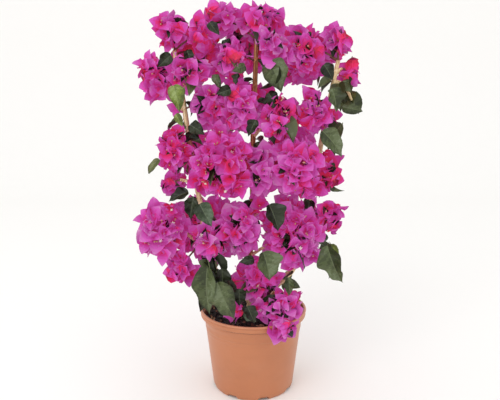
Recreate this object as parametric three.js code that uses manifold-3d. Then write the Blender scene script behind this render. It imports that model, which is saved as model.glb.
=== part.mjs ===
// A bougainvillea bush trained as a fan, standing in a round grow pot. Millimetres, +Z up.
// The plant faces -Y. The origin is the centre of the pot's flat underside.
// A short trunk stands in the soil and forks into three leaders that spread like a fan in the
// plane Y = 0. Side boughs leave the leaders and end where they enter a mass of flowers or leaves.

import * as THREE from 'three';
import { mergeVertices } from 'three/addons/utils/BufferGeometryUtils.js';
import Module from 'manifold-3d';

const manifold = await Module();
manifold.setup();

// ---- Driving dimensions ----

// Pot: 19 cm across the rim, about 3 litres.
const RIM_RADIUS = 95;
const POT_HEIGHT = 144;
const RIM_DEPTH = 12;
const SHOULDER_DEPTH = 13;
const NECK_RADIUS = 86;
const BASE_RADIUS = 72;
const WALL = 2.4;
const FLOOR = 3;
const RIM_WALL = 4;
const RIM_EDGE = 1.2;
const RIM_DROP = 2;
const SHOULDER_SWELL = 3.5;
const FOOT_EDGE = 4;
const FOOT_CHAMFER = 1.2;
const DRAIN_SLOTS = 8;
const DRAIN_WIDTH = 18;
const DRAIN_HEIGHT = 5.5;
const DRAIN_DEPTH = 18;
const DRAIN_TURN = 0.32;
const POT_SIDES = 36;
const SOIL_SIDES = 30;

const NECK_HEIGHT = POT_HEIGHT - RIM_DEPTH - SHOULDER_DEPTH;

// Soil: its level stands a little below the rim.
const SOIL_LEVEL = 130;
const SOIL_SLOPE = 2.5;
const SOIL_EDGE = 3;
const SOIL_INSET = 0.5;
const SOIL_SHOULDER = 14;
const SOIL_CROWN = 34.4;

// Stems.
const TRUNK_FOOT_RADIUS = 14.5;
const TRUNK_TOP_RADIUS = 10.5;
const TRUNK_LEAN = 4;
const FORK_HEIGHT = 160;
const LEADER_RADIUS = 5.2;
const LEADER_TIP_RADIUS = 4;
const FORK_SPREAD = 6.4;
const BOUGH_RADIUS = 3.1;
const BOUGH_TIP_RADIUS = 1.9;
const FORK_RISE = 9;
const FORK_OVERLAP = 2;
const FORK_BEND = 1.2;
const FORK_REACH = 0.12;
const SWAY = 3;
const SWAY_RATE = 7;

// Fan: the height where the leaders have come apart, and for each leader its place across the
// fan there, the height and place where it ends in the crown, and its bearing at the fork.
const FAN_FOOT = 215;
const LEADERS = [
  { side: 'left', foot: -74, top: -131, height: 590, forkAngle: 210 },
  { side: 'middle', foot: -6, top: 5, height: 606, forkAngle: 90 },
  { side: 'right', foot: 74, top: 141, height: 574, forkAngle: 330 },
];

// Masses: how far the hollows and the fullest bumps stand from the centre, as a share of the size.
const HOLLOW = 0.9;
const FULLEST = 1.16;
const BUMPS = 9;
const BUMP_LEAST = 0.18;
const BUMP_SPREAD = 0.24;
const BUMP_SHARPNESS = 6;
const COARSE_WIDTH = 51;

// Depth of a mass: a share of its smaller side, and for the large ones a fixed part as well.
const SMALL_DEPTH = 0.7;
const LARGE_DEPTH = 0.72;
const LARGE_DEPTH_BASE = 20;

// Clearances between neighbouring solids.
const GAP = 0.4;
const CUT_GAP = 0.35;
const CLEARING = 1.03;
const LEAST_FACING = 0.02;
const STEM_SAMPLES = 150;

// Masses: [name, across X, depth Y, height Z, width, tall]. The depth of a mass follows its size.
const FLOWER_MASSES = [
  ['crown_top_far_left', -130, -8, 626, 56, 64],
  ['crown_top_left', -84, -26, 612, 48, 62],
  ['crown_top_peak', -52, 0, 640, 56, 62],
  ['crown_top_centre', 13, -4, 640, 72, 60],
  ['crown_top_right', 79, -12, 588, 62, 82],
  ['crown_top_far_right', 134, -6, 598, 52, 58],
  ['crown_right_tip', 161, 2, 553, 28, 50],
  ['crown_upper_wing_left', -164, -4, 548, 58, 92],
  ['crown_upper_left', -100, -36, 558, 78, 62],
  ['crown_upper_middle', -38, -40, 574, 54, 60],
  ['crown_upper_centre', 31, -38, 595, 56, 50],
  ['crown_third_left', -74, -22, 503, 60, 70],
  ['crown_third_middle', -20, -40, 504, 54, 88],
  ['crown_third_right', 45, -28, 482, 72, 72],
  ['crown_third_far_right', 103, -24, 494, 56, 78],
  ['crown_middle_far_left', -130, -18, 427, 60, 84],
  ['crown_middle_left', -46, -50, 400, 106, 122],
  ['crown_middle_centre', 9, -34, 398, 58, 92],
  ['crown_middle_right', 76, -40, 392, 88, 112],
  ['crown_middle_far_right', 124, -14, 390, 46, 62],
  ['crown_middle_tuft', -142, -4, 368, 40, 34],
  ['crown_lower_wing_left', -162, -16, 290, 96, 120],
  ['crown_lower_wing_drop', -128, -24, 226, 50, 66],
  ['crown_lower_left', -73, -40, 276, 72, 78],
  ['crown_lower_centre', -22, -46, 292, 70, 98],
  ['crown_lower_right', 72, -36, 276, 92, 122],
  ['crown_lower_far_right', 130, -14, 312, 46, 66],
  ['crown_bottom_centre', 6, -34, 204, 94, 78],
  ['crown_bottom_right', 46, -66, 170, 94, 64],
  ['crown_bottom_left', -34, -66, 166, 30, 42],
];
const BACK_MASSES = [
  ['crown_back_top_left', -92, 44, 588, 96, 92],
  ['crown_back_top_middle', -14, 42, 606, 84, 80],
  ['crown_back_top_right', 88, 42, 580, 100, 94],
  ['crown_back_third', -18, 46, 500, 120, 86],
  ['crown_back_middle_left', -74, 50, 406, 124, 112],
  ['crown_back_middle_right', 70, 48, 398, 118, 118],
  ['crown_back_lower_left', -88, 46, 284, 134, 112],
  ['crown_back_lower_right', 62, 48, 280, 112, 118],
];
const SMALL_MASSES = [
  ['crown_over_rim', 50, -97, 143, 50, 42],
  ['leaves_bottom_left', -66, -62, 200, 76, 92],
  ['leaves_lower_right', 134, -16, 234, 42, 66],
  ['leaves_middle_right', 134, -8, 444, 48, 50],
  ['leaves_upper_right', 130, -30, 512, 36, 38],
  ['leaves_right_tip', 171, 0, 494, 36, 28],
  ['leaves_upper_centre', 34, -16, 544, 42, 46],
];

// Side boughs: [name, leader, height where it leaves, mass that it enters, bow upward].
const BOUGHS = [
  ['bough_lower_left', 'left', 250, 'crown_lower_wing_left', 14],
  ['bough_upper_left', 'left', 486, 'crown_upper_wing_left', 10],
  ['bough_middle_left', 'left', 366, 'crown_middle_tuft', 8],
  ['bough_lower_centre', 'middle', 236, 'crown_lower_right', 10],
  ['bough_back_centre', 'middle', 345, 'crown_back_middle_right', 8],
  ['bough_third_centre', 'middle', 446, 'crown_third_right', 8],
  ['bough_lower_right', 'right', 238, 'leaves_lower_right', 12],
  ['bough_upper_right', 'right', 540, 'leaves_right_tip', 16],
  ['bough_right_tip', 'right', 552, 'crown_right_tip', 8],
];

// ---- Colours and finish ----

const FINISH = {
  pot: { color: 0xc8845f, roughness: 0.45 },
  soil: { color: 0x3b2a20, roughness: 0.95 },
  bark: { color: 0xa98a63, roughness: 0.85 },
  flower: { color: 0xbb2f93, roughness: 0.6 },
  leaf: { color: 0x4f6f45, roughness: 0.55 },
};

const bush = new THREE.Group();

function addNode(name, geometry, finish) {
  const material = new THREE.MeshStandardMaterial({ ...FINISH[finish], metalness: 0 });
  geometry.computeVertexNormals();
  const mesh = new THREE.Mesh(geometry, material);
  mesh.name = name;
  bush.add(mesh);
}

// ---- Joining and cutting ----

function mergedGeometry(geometry) {
  geometry.deleteAttribute('normal');
  geometry.deleteAttribute('uv');
  return mergeVertices(geometry, 1e-4);
}

function toSolid(geometry) {
  const merged = mergedGeometry(geometry.clone());
  return new manifold.Manifold(new manifold.Mesh({
    numProp: 3,
    vertProperties: new Float32Array(merged.attributes.position.array),
    triVerts: new Uint32Array(merged.index.array),
  }));
}

function toGeometry(solid) {
  const mesh = solid.getMesh();
  const geometry = new THREE.BufferGeometry();
  geometry.setAttribute('position', new THREE.BufferAttribute(new Float32Array(mesh.vertProperties), 3));
  geometry.setIndex(new THREE.BufferAttribute(new Uint32Array(mesh.triVerts), 1));
  return geometry;
}

// The piece of a cut solid that comes nearest to a point.
function pieceNearest(solid, point) {
  let best = null;
  let bestDistance = Infinity;
  for (const piece of solid.decompose()) {
    const { vertProperties } = piece.getMesh();
    for (let i = 0; i < vertProperties.length; i += 3) {
      const corner = new THREE.Vector3().fromArray(vertProperties, i);
      const distance = corner.distanceTo(point);
      if (distance < bestDistance) {
        bestDistance = distance;
        best = piece;
      }
    }
  }
  return best;
}

// ---- Pot and soil ----

function lathe(profile, sides) {
  const geometry = new THREE.LatheGeometry(profile.map(([r, z]) => new THREE.Vector2(r, z)), sides);
  geometry.rotateX(Math.PI / 2);
  return geometry;
}

function makePot() {
  const band = POT_HEIGHT - RIM_DEPTH;
  const profile = [
    [0, 0],
    [BASE_RADIUS - FOOT_EDGE, 0],
    [BASE_RADIUS - FOOT_CHAMFER, FOOT_CHAMFER],
    [BASE_RADIUS, FOOT_EDGE],
    [NECK_RADIUS, NECK_HEIGHT],
    [NECK_RADIUS + SHOULDER_SWELL, (NECK_HEIGHT + band) / 2],
    [RIM_RADIUS - RIM_DROP, band],
    [RIM_RADIUS, band + RIM_DROP],
    [RIM_RADIUS, POT_HEIGHT - 2 * RIM_EDGE],
    [RIM_RADIUS - RIM_EDGE, POT_HEIGHT],
    [RIM_RADIUS - RIM_WALL + RIM_EDGE, POT_HEIGHT],
    [RIM_RADIUS - RIM_WALL, POT_HEIGHT - 2 * RIM_EDGE],
    [RIM_RADIUS - RIM_WALL - 1, band],
    [NECK_RADIUS - WALL, NECK_HEIGHT],
    [BASE_RADIUS - WALL, FLOOR],
    [0, FLOOR],
  ];
  let pot = toSolid(lathe(profile, POT_SIDES));
  for (let i = 0; i < DRAIN_SLOTS; i += 1) {
    const slot = new THREE.BoxGeometry(DRAIN_DEPTH, DRAIN_WIDTH, 2 * DRAIN_HEIGHT);
    slot.translate(BASE_RADIUS + 2, 0, 0);
    slot.rotateZ((i + DRAIN_TURN) * 2 * Math.PI / DRAIN_SLOTS);
    pot = pot.subtract(toSolid(slot));
  }
  return toGeometry(pot);
}

function makeSoil() {
  const profile = [
    [0, FLOOR + SOIL_INSET],
    [BASE_RADIUS - WALL - 2 * SOIL_INSET, FLOOR + SOIL_INSET],
    [NECK_RADIUS - WALL - 2 * SOIL_INSET, NECK_HEIGHT],
    [NECK_RADIUS - WALL + SOIL_INSET, SOIL_LEVEL - SOIL_SLOPE - SOIL_EDGE],
    [NECK_RADIUS - SOIL_SHOULDER, SOIL_LEVEL - SOIL_SLOPE],
    [SOIL_CROWN, SOIL_LEVEL],
    [0, SOIL_LEVEL],
  ];
  return mergedGeometry(lathe(profile, SOIL_SIDES));
}

// ---- Limbs ----

// A round limb carried along a curve, with a radius given for each fraction of its length.
// Level rings keep both ends horizontal; otherwise each ring stands square to the curve.
function limb(curve, radiusAt, { sides, steps, level = false }) {
  const geometry = new THREE.CylinderGeometry(1, 1, 1, sides, steps);
  const frames = curve.computeFrenetFrames(steps);
  const position = geometry.attributes.position;
  for (let i = 0; i < position.count; i += 1) {
    const step = Math.round((position.getY(i) + 0.5) * steps);
    const t = step / steps;
    const across = level ? new THREE.Vector3(1, 0, 0) : frames.normals[step];
    const along = level ? new THREE.Vector3(0, 0, 1) : frames.tangents[step];
    const side = new THREE.Vector3().crossVectors(across, along);
    const radius = radiusAt(t);
    const point = curve.getPointAt(t);
    point.addScaledVector(across, position.getX(i) * radius);
    point.addScaledVector(side, position.getZ(i) * radius);
    position.setXYZ(i, point.x, point.y, point.z);
  }
  return mergedGeometry(geometry);
}

const trunkCurve = new THREE.CatmullRomCurve3([
  new THREE.Vector3(0, 0, SOIL_LEVEL + CUT_GAP),
  new THREE.Vector3(TRUNK_LEAN / 3, 0, (SOIL_LEVEL + FORK_HEIGHT) / 2),
  new THREE.Vector3(TRUNK_LEAN, 0, FORK_HEIGHT),
]);

const trunkRadius = (t) => TRUNK_TOP_RADIUS + (TRUNK_FOOT_RADIUS - TRUNK_TOP_RADIUS) * (1 - t) ** 3;

function makeTrunk(grow = 0) {
  return limb(trunkCurve, (t) => trunkRadius(t) + grow, { sides: 14, steps: 5, level: true });
}

// A leader rises from the fork, bends out to its foot in the fan, then runs straight to its top.
function leaderCurve({ foot, top, height, forkAngle }) {
  const angle = THREE.MathUtils.degToRad(forkAngle);
  const startX = TRUNK_LEAN + FORK_SPREAD * Math.cos(angle);
  const startY = FORK_SPREAD * Math.sin(angle);
  const points = [
    new THREE.Vector3(startX, startY, FORK_HEIGHT - FORK_OVERLAP),
    new THREE.Vector3(startX * FORK_BEND + foot * FORK_REACH, startY, FORK_HEIGHT + FORK_RISE),
    new THREE.Vector3(foot, 0, FAN_FOOT),
  ];
  for (const share of [0.25, 0.5, 0.75, 1]) {
    const sway = SWAY * Math.sin(share * SWAY_RATE + foot);
    points.push(new THREE.Vector3(
      THREE.MathUtils.lerp(foot, top, share) + sway * (1 - share),
      sway * (1 - share),
      THREE.MathUtils.lerp(FAN_FOOT, height, share),
    ));
  }
  return new THREE.CatmullRomCurve3(points);
}

const leaderRadius = (t) => THREE.MathUtils.lerp(LEADER_RADIUS, LEADER_TIP_RADIUS, t);

const leaders = LEADERS.map((leader) => ({ ...leader, curve: leaderCurve(leader) }));

function makeLeader(leader, grow = 0) {
  return limb(leader.curve, (t) => leaderRadius(t) + grow, { sides: 8, steps: 12 });
}

// ---- Masses of flowers and leaves ----

// A repeatable random number source (a linear congruential generator).
function randomSource(seed) {
  let state = seed;
  return () => {
    state = (state * 1664525 + 1013904223) % 4294967296;
    return state / 4294967296;
  };
}

function randomDirection(random) {
  const z = 2 * random() - 1;
  const angle = 2 * Math.PI * random();
  const flat = Math.sqrt(1 - z * z);
  return new THREE.Vector3(flat * Math.cos(angle), flat * Math.sin(angle), z);
}

function describeMass([name, x, y, z, width, tall], index, kind) {
  const side = Math.min(width, tall);
  const depth = kind === 'small' ? SMALL_DEPTH * side : LARGE_DEPTH_BASE + LARGE_DEPTH * side;
  const random = randomSource(97 + 31 * index);
  const bumps = [];
  for (let i = 0; i < BUMPS; i += 1) {
    bumps.push({ direction: randomDirection(random), size: BUMP_LEAST + BUMP_SPREAD * random() });
  }
  return {
    name,
    centre: new THREE.Vector3(x, y, z),
    half: new THREE.Vector3(width / 2, depth / 2, tall / 2),
    bumps,
    detail: kind === 'small' || width < COARSE_WIDTH ? 1 : 2,
    finish: name.startsWith('leaves') ? 'leaf' : 'flower',
  };
}

// How far the mass reaches from its centre: an ellipsoid, hollowed a little and raised in bumps.
function reach(mass, direction) {
  const scaled = direction.clone().divide(mass.half).length();
  let swell = HOLLOW;
  for (const bump of mass.bumps) {
    swell += bump.size * Math.max(0, direction.dot(bump.direction)) ** BUMP_SHARPNESS;
  }
  return Math.min(swell, FULLEST) / scaled;
}

const support = (mass, direction) => direction.clone().multiply(mass.half).length() * FULLEST;

// Flat limits that keep a mass off its neighbours, the leaders, the trunk and the pot.
function limitsFor(mass, masses) {
  const limits = [];
  for (const other of masses) {
    if (other === mass) continue;
    const normal = other.centre.clone().sub(mass.centre);
    const distance = normal.length();
    normal.divideScalar(distance);
    const own = support(mass, normal);
    const theirs = support(other, normal);
    if (own + theirs > distance - GAP) {
      limits.push({ normal, distance: distance * own / (own + theirs) - GAP / 2 });
    }
  }
  const stems = leaders.map(({ curve }) => ({ curve, radiusAt: leaderRadius }));
  stems.push({ curve: trunkCurve, radiusAt: trunkRadius });
  for (const { curve, radiusAt } of stems) {
    for (let step = 0; step <= STEM_SAMPLES; step += 1) {
      const t = step / STEM_SAMPLES;
      const normal = curve.getPointAt(t).sub(mass.centre);
      const distance = normal.length();
      limits.push({ normal: normal.divideScalar(distance), distance: distance - radiusAt(t) - 2 * GAP });
    }
  }
  const overPot = Math.hypot(mass.centre.x, mass.centre.y) < RIM_RADIUS;
  if (overPot) {
    limits.push({ normal: new THREE.Vector3(0, 0, -1), distance: mass.centre.z - POT_HEIGHT - GAP });
  } else {
    const inward = new THREE.Vector3(-mass.centre.x, -mass.centre.y, 0).normalize();
    const toRim = Math.hypot(mass.centre.x, mass.centre.y) - RIM_RADIUS - GAP;
    if (mass.centre.z - mass.half.z < POT_HEIGHT) limits.push({ normal: inward, distance: toRim });
  }
  return limits;
}

function makeMass(mass, masses) {
  const geometry = mergedGeometry(new THREE.IcosahedronGeometry(1, mass.detail));
  const limits = limitsFor(mass, masses);
  const position = geometry.attributes.position;
  const direction = new THREE.Vector3();
  for (let i = 0; i < position.count; i += 1) {
    direction.fromBufferAttribute(position, i).normalize();
    let length = reach(mass, direction);
    for (const limit of limits) {
      const facing = direction.dot(limit.normal);
      if (facing > LEAST_FACING) length = Math.min(length, limit.distance / facing);
    }
    const point = direction.clone().multiplyScalar(length).add(mass.centre);
    position.setXYZ(i, point.x, point.y, point.z);
  }
  return geometry;
}

// ---- Side boughs ----

function makeBough([name, side, height, target, bow], masses, solids) {
  const leader = leaders.find((item) => item.side === side);
  let start = leader.curve.getPointAt(0);
  for (let step = 0; step <= STEM_SAMPLES; step += 1) {
    const point = leader.curve.getPointAt(step / STEM_SAMPLES);
    if (Math.abs(point.z - height) < Math.abs(start.z - height)) start = point;
  }
  const end = masses.find((mass) => mass.name === target).centre;
  const middle = start.clone().lerp(end, 0.5);
  middle.z += bow;
  const curve = new THREE.CatmullRomCurve3([start, middle, end.clone()]);
  const radiusAt = (t) => THREE.MathUtils.lerp(BOUGH_RADIUS, BOUGH_TIP_RADIUS, t);
  let bough = toSolid(limb(curve, radiusAt, { sides: 6, steps: 4 }));
  for (const solid of solids) bough = bough.subtract(solid);
  return toGeometry(pieceNearest(bough, start));
}

// A mass scaled about its centre, so that what it cuts keeps clear of it.
function grownMass(mass, geometry) {
  const grown = geometry.clone();
  grown.translate(-mass.centre.x, -mass.centre.y, -mass.centre.z);
  grown.scale(CLEARING, CLEARING, CLEARING);
  grown.translate(mass.centre.x, mass.centre.y, mass.centre.z);
  return toSolid(grown);
}

// ---- Assembly ----

addNode('pot', makePot(), 'pot');
addNode('soil', makeSoil(), 'soil');
addNode('trunk', makeTrunk(), 'bark');

const trunkCutter = toSolid(makeTrunk(CUT_GAP));
for (const leader of leaders) {
  const cut = toSolid(makeLeader(leader)).subtract(trunkCutter);
  addNode(`leader_${leader.side}`, toGeometry(pieceNearest(cut, leader.curve.getPointAt(0.5))), 'bark');
}

const masses = [
  ...FLOWER_MASSES.map((row, i) => describeMass(row, i, 'flower')),
  ...BACK_MASSES.map((row, i) => describeMass(row, 40 + i, 'flower')),
  ...SMALL_MASSES.map((row, i) => describeMass(row, 60 + i, 'small')),
];
const cutters = [trunkCutter, ...leaders.map((leader) => toSolid(makeLeader(leader, CUT_GAP)))];
for (const mass of masses) {
  const geometry = makeMass(mass, masses);
  addNode(mass.name, geometry, mass.finish);
  cutters.push(grownMass(mass, geometry));
}

for (const row of BOUGHS) {
  addNode(row[0], makeBough(row, masses, cutters), 'bark');
}

export default bush;
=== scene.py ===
"""A potted bougainvillea bush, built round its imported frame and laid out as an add-on.

The pot, the soil, the stems and every mass of the crown are read from the frame. Each mass is
filled by a seeded rule: shoots leave the nearest limb, fork into sprays inside the mass, and
end in heads of three papery bracts round small tubular flowers, with leaves along the sprays.
All lengths are metres unless a name says otherwise.
"""

import functools
import math

import bpy
import numpy as np
from bpy.props import FloatProperty, FloatVectorProperty, IntProperty, PointerProperty
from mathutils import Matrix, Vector
from mathutils.bvhtree import BVHTree


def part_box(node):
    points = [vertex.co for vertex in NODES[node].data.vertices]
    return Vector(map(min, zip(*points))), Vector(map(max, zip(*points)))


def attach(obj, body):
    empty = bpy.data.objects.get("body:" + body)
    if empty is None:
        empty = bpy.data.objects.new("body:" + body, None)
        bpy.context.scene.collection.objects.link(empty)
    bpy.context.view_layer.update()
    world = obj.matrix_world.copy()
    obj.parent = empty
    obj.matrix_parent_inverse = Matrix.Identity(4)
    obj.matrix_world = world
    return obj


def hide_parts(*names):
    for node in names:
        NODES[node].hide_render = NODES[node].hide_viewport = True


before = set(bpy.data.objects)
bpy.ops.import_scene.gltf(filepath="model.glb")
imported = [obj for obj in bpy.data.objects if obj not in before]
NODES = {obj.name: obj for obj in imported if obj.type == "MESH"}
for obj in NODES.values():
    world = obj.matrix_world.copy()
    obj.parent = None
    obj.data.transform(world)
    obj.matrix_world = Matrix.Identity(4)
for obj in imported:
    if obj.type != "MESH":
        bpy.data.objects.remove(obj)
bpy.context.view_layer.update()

bl_info = {
    "name": "Potted bougainvillea",
    "version": (1, 0, 0),
    "blender": (4, 5, 0),
    "location": "3D View > Sidebar > Bougainvillea",
    "description": "Builds a fan-trained bougainvillea in a round grow pot",
    "category": "Add Mesh",
}

MM = 0.001
TAU = 2 * math.pi
UP = np.array([0.0, 0.0, 1.0])
FRONT = np.array([0.0, -1.0, 0.0])


# ---- Colours, nodes and materials ----


def linear(hex_colour):
    """sRGB hex such as 'c08060' to linear red, green and blue."""
    values = [int(hex_colour[i : i + 2], 16) / 255 for i in (0, 2, 4)]
    return tuple(v / 12.92 if v <= 0.04045 else ((v + 0.055) / 1.055) ** 2.4 for v in values)


# Sockets of a Mix node that mixes two colours, by number: its names stand for several sockets.
MIX_SHARE, MIX_FIRST, MIX_SECOND, MIX_RESULT = 0, 6, 7, 2


def add_node(tree, kind, settings=None, inputs=None, links=None):
    """Adds one node: settings are its properties, inputs its plain values, links what feeds it.
    A socket goes by its name or its number."""
    node = tree.nodes.new(kind)
    for name, value in (settings or {}).items():
        setattr(node, name, value)
    for name, value in (inputs or {}).items():
        node.inputs[name].default_value = value
    for name, socket in (links or {}).items():
        tree.links.new(socket, node.inputs[name])
    return node


def new_material(name):
    """An empty node material and its tree, with an output and a Principled shader."""
    material = bpy.data.materials.new(name)
    material.use_nodes = True
    tree = material.node_tree
    tree.nodes.clear()
    shader = add_node(tree, "ShaderNodeBsdfPrincipled")
    add_node(tree, "ShaderNodeOutputMaterial", links={"Surface": shader.outputs["BSDF"]})
    return material, tree, shader


def plain_material(name, colour, roughness, specular=0.5, glow=0.0):
    """A material whose numbers are the same all over, so that it leaves the export unbaked."""
    material, _, shader = new_material(name)
    shader.inputs["Base Color"].default_value = (*colour, 1)
    shader.inputs["Roughness"].default_value = roughness
    shader.inputs["Specular IOR Level"].default_value = specular
    if glow:
        shader.inputs["Emission Color"].default_value = (*colour, 1)
        shader.inputs["Emission Strength"].default_value = glow
    material.diffuse_color = (*colour, 1)
    return material


def dress(tree, shader, colour, height, strength, depth):
    """Gives the shader its base colour from one socket, and the surface a bump from another."""
    bump = add_node(
        tree, "ShaderNodeBump", inputs={"Strength": strength, "Distance": depth},
        links={"Height": height})
    tree.links.new(colour, shader.inputs["Base Color"])
    tree.links.new(bump.outputs["Normal"], shader.inputs["Normal"])


def set_ramp(node, stops):
    """Gives a ColorRamp node its stops, as (place, colour) pairs."""
    ramp = node.color_ramp
    while len(ramp.elements) > 1:
        ramp.elements.remove(ramp.elements[-1])
    for i, (place, colour) in enumerate(stops):
        element = ramp.elements[0] if i == 0 else ramp.elements.new(place)
        element.position = place
        element.color = (*colour, 1)


# ---- Mesh building ----


def make_object(name, vertices, faces, materials, face_material=None, smooth=True):
    """A mesh object from a vertex array and a face array whose faces all have as many corners."""
    mesh = bpy.data.meshes.new(name)
    vertices = np.asarray(vertices, np.float32).reshape(-1, 3)
    faces = np.asarray(faces, np.int32)
    count, corners = faces.shape
    mesh.vertices.add(len(vertices))
    mesh.vertices.foreach_set("co", vertices.ravel())
    mesh.loops.add(count * corners)
    mesh.loops.foreach_set("vertex_index", faces.ravel())
    mesh.polygons.add(count)
    mesh.polygons.foreach_set("loop_start", np.arange(count, dtype=np.int32) * corners)
    for material in materials:
        mesh.materials.append(material)
    if face_material is not None:
        mesh.polygons.foreach_set("material_index", np.asarray(face_material, np.int32).ravel())
    mesh.polygons.foreach_set("use_smooth", np.full(count, smooth))
    mesh.update(calc_edges=True)
    piece = bpy.data.objects.new(name, mesh)
    bpy.context.scene.collection.objects.link(piece)
    return piece


def give_attribute(piece, name, values):
    """Keeps one number at each of the piece's points, for its material to read."""
    attribute = piece.data.attributes.new(name, "FLOAT", "POINT")
    attribute.data.foreach_set("value", np.ravel(values).astype(np.float32))


def joined(parts):
    """One mesh from parts of (vertices, faces, material number): its vertices, its faces and each
    face's material."""
    starts = np.cumsum([0] + [len(vertices) for vertices, _, _ in parts[:-1]])
    faces = np.concatenate([faces + start for (_, faces, _), start in zip(parts, starts)])
    kinds = np.concatenate([np.full(len(faces), kind) for _, faces, kind in parts])
    return np.concatenate([vertices for vertices, _, _ in parts]), faces, kinds


def fasten(piece, nodes=()):
    """Rides the piece on the one body, and hides the CAD nodes that it stands for."""
    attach(piece, "root")
    if nodes:
        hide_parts(*nodes)


def unit(vectors):
    """Vectors scaled to length 1 along their last axis."""
    return vectors / np.maximum(np.linalg.norm(vectors, axis=-1, keepdims=True), 1e-12)


def grid_faces(copies, rows, columns, closed=False):
    """Quads of copies of a grid of rows x columns points; a closed grid joins its last column to
    its first."""
    row = np.arange(rows - 1)[:, None]
    column = np.arange(columns if closed else columns - 1)[None, :]
    after = (column + 1) % columns
    quads = np.stack(
        np.broadcast_arrays(
            row * columns + column,
            row * columns + after,
            (row + 1) * columns + after,
            (row + 1) * columns + column,
        ),
        axis=-1,
    ).reshape(-1, 4)
    shift = np.arange(copies)[:, None, None] * rows * columns
    return (quads[None] + shift).reshape(-1, 4)


def cap_faces(copies, rows, sides):
    """Quads that close both ends of copies of a tube with an even number of sides."""
    fan = np.arange(0, sides - 2, 2)
    end = np.stack([np.zeros_like(fan), fan + 1, fan + 2, fan + 3], axis=-1)
    start = end[:, ::-1]
    both = np.concatenate([start, end + (rows - 1) * sides])
    shift = np.arange(copies)[:, None, None] * rows * sides
    return (both[None] + shift).reshape(-1, 4)


def tube_faces(copies, rows, sides):
    """Quads of copies of a closed tube: its wall and both of its ends."""
    wall = grid_faces(copies, rows, sides, closed=True)
    return np.concatenate([wall, cap_faces(copies, rows, sides)])


def turns_of(count):
    """Angles at equal steps round a whole turn."""
    return np.arange(count) * TAU / count


def rings(first, second, sides):
    """Rings of directions in the planes of pairs of square ones: first by the cosine of the angle
    and second by its sine."""
    angle = turns_of(sides)[:, None]
    return first[..., None, :] * np.cos(angle) + second[..., None, :] * np.sin(angle)


def across(tangents):
    """Two directions square to each path's tangents and to each other: the first is the cross
    product with whichever world axis the path as a whole leans on least."""
    mean = np.abs(tangents.mean(axis=1))
    reference = np.eye(3)[mean.argmin(axis=1)][:, None, :]
    first = unit(np.cross(tangents, reference))
    return first, np.cross(tangents, first)


def tubes(paths, radii, sides):
    """Closed tubes: each path point carries a ring of points at its radius, square to the path.
    paths is (copies, points, 3) and radii (copies, points)."""
    ring = rings(*across(unit(np.gradient(paths, axis=1))), sides)
    points = paths[:, :, None] + ring * radii[:, :, None, None]
    return points.reshape(-1, 3), tube_faces(*radii.shape, sides)


def bezier(start, control, end, points):
    """Quadratic curves: start times (1 - t) squared, control times 2 t (1 - t), and end times t
    squared."""
    t = np.linspace(0, 1, points)[None, :, None]
    first, second, last = start[:, None], control[:, None], end[:, None]
    return (1 - t) ** 2 * first + 2 * t * (1 - t) * second + t**2 * last


# ---- What the frame gives ----


def triangles_of(node):
    """The CAD node's triangles as an array of (count, 3 corners, 3)."""
    mesh = NODES[node].data
    mesh.calc_loop_triangles()
    points = np.empty(len(mesh.vertices) * 3, np.float32)
    mesh.vertices.foreach_get("co", points)
    index = np.empty(len(mesh.loop_triangles) * 3, np.int32)
    mesh.loop_triangles.foreach_get("vertices", index)
    return points.reshape(-1, 3)[index].reshape(-1, 3, 3).astype(float)


RING_GAP = 3.5 * MM


def rings_of(node):
    """A limb's middle line and radii. Its points are sorted along its longest direction and split
    at each gap between rings: a ring's mean is a point of the line, and the mean distance to it is
    the radius there. A short limb is cut into thirds instead."""
    points = np.unique(triangles_of(node).reshape(-1, 3).round(6), axis=0)
    middle = points.mean(axis=0)
    axis = np.linalg.svd(points - middle, full_matrices=False)[2][0] if node != "trunk" else UP
    axis = -axis if axis[2] < 0 else axis
    points = points[np.argsort((points - middle) @ axis)]
    gaps = np.diff((points - middle) @ axis) > RING_GAP
    rings = [ring for ring in np.split(points, np.flatnonzero(gaps) + 1) if len(ring) >= 4]
    rings = rings if len(rings) >= 3 else np.array_split(points, 3)
    line = np.array([ring.mean(axis=0) for ring in rings])
    radii = [np.linalg.norm(ring - centre, axis=1).mean() for ring, centre in zip(rings, line)]
    return line, np.array(radii)


def run_along(line):
    """How far along a line each of its points is."""
    return np.r_[0, np.cumsum(np.linalg.norm(np.diff(line, axis=0), axis=1))]


def resample(line, radii, step):
    """Points at equal steps along a polyline, with the radii carried along. Its corners are
    rounded first: three times over, each side is cut at a quarter and at three quarters."""
    path = np.column_stack([line, radii])
    for _ in range(3):
        near, far = 0.75 * path[:-1] + 0.25 * path[1:], 0.25 * path[:-1] + 0.75 * path[1:]
        path = np.concatenate([path[:1], np.stack([near, far], axis=1).reshape(-1, 4), path[-1:]])
    run = run_along(path[:, :3])
    at = np.linspace(0, run[-1], max(4, int(run[-1] / step)))
    path = np.stack([np.interp(at, run, path[:, k]) for k in range(4)], axis=-1)
    return path[:, :3], path[:, 3]


MASS_NODES = sorted(n for n in NODES if n.startswith("crown_") or n.startswith("leaves_"))
FLOWER_NODES = [n for n in MASS_NODES if n.startswith("crown_")]
LEAF_NODES = [n for n in MASS_NODES if n.startswith("leaves_")]
LEADER_NODES = [n for n in NODES if n.startswith("leader_")]
BOUGH_NODES = [n for n in NODES if n.startswith("bough_")]
# Each tier of the crown, with how much paler and more purple its bracts are, in tones; the middle
# tier's darker tone is partly painted shade.
TIERS = {
    "top": 0.1, "upper": 0.0, "third": 0.1, "middle": -0.32, "lower": 0.3, "bottom": 0.55,
    "back": 0.0,
}
# A mass further back than this looks to the back, and so do its heads and leaves.
BACK_FROM = 15 * MM


def tier_of(node):
    """The tier that a mass belongs to, from its name."""
    word = node.split("_")[1]
    return word if word in TIERS else {"right": "upper", "over": "bottom"}[word]


# ---- Properties ----


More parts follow.
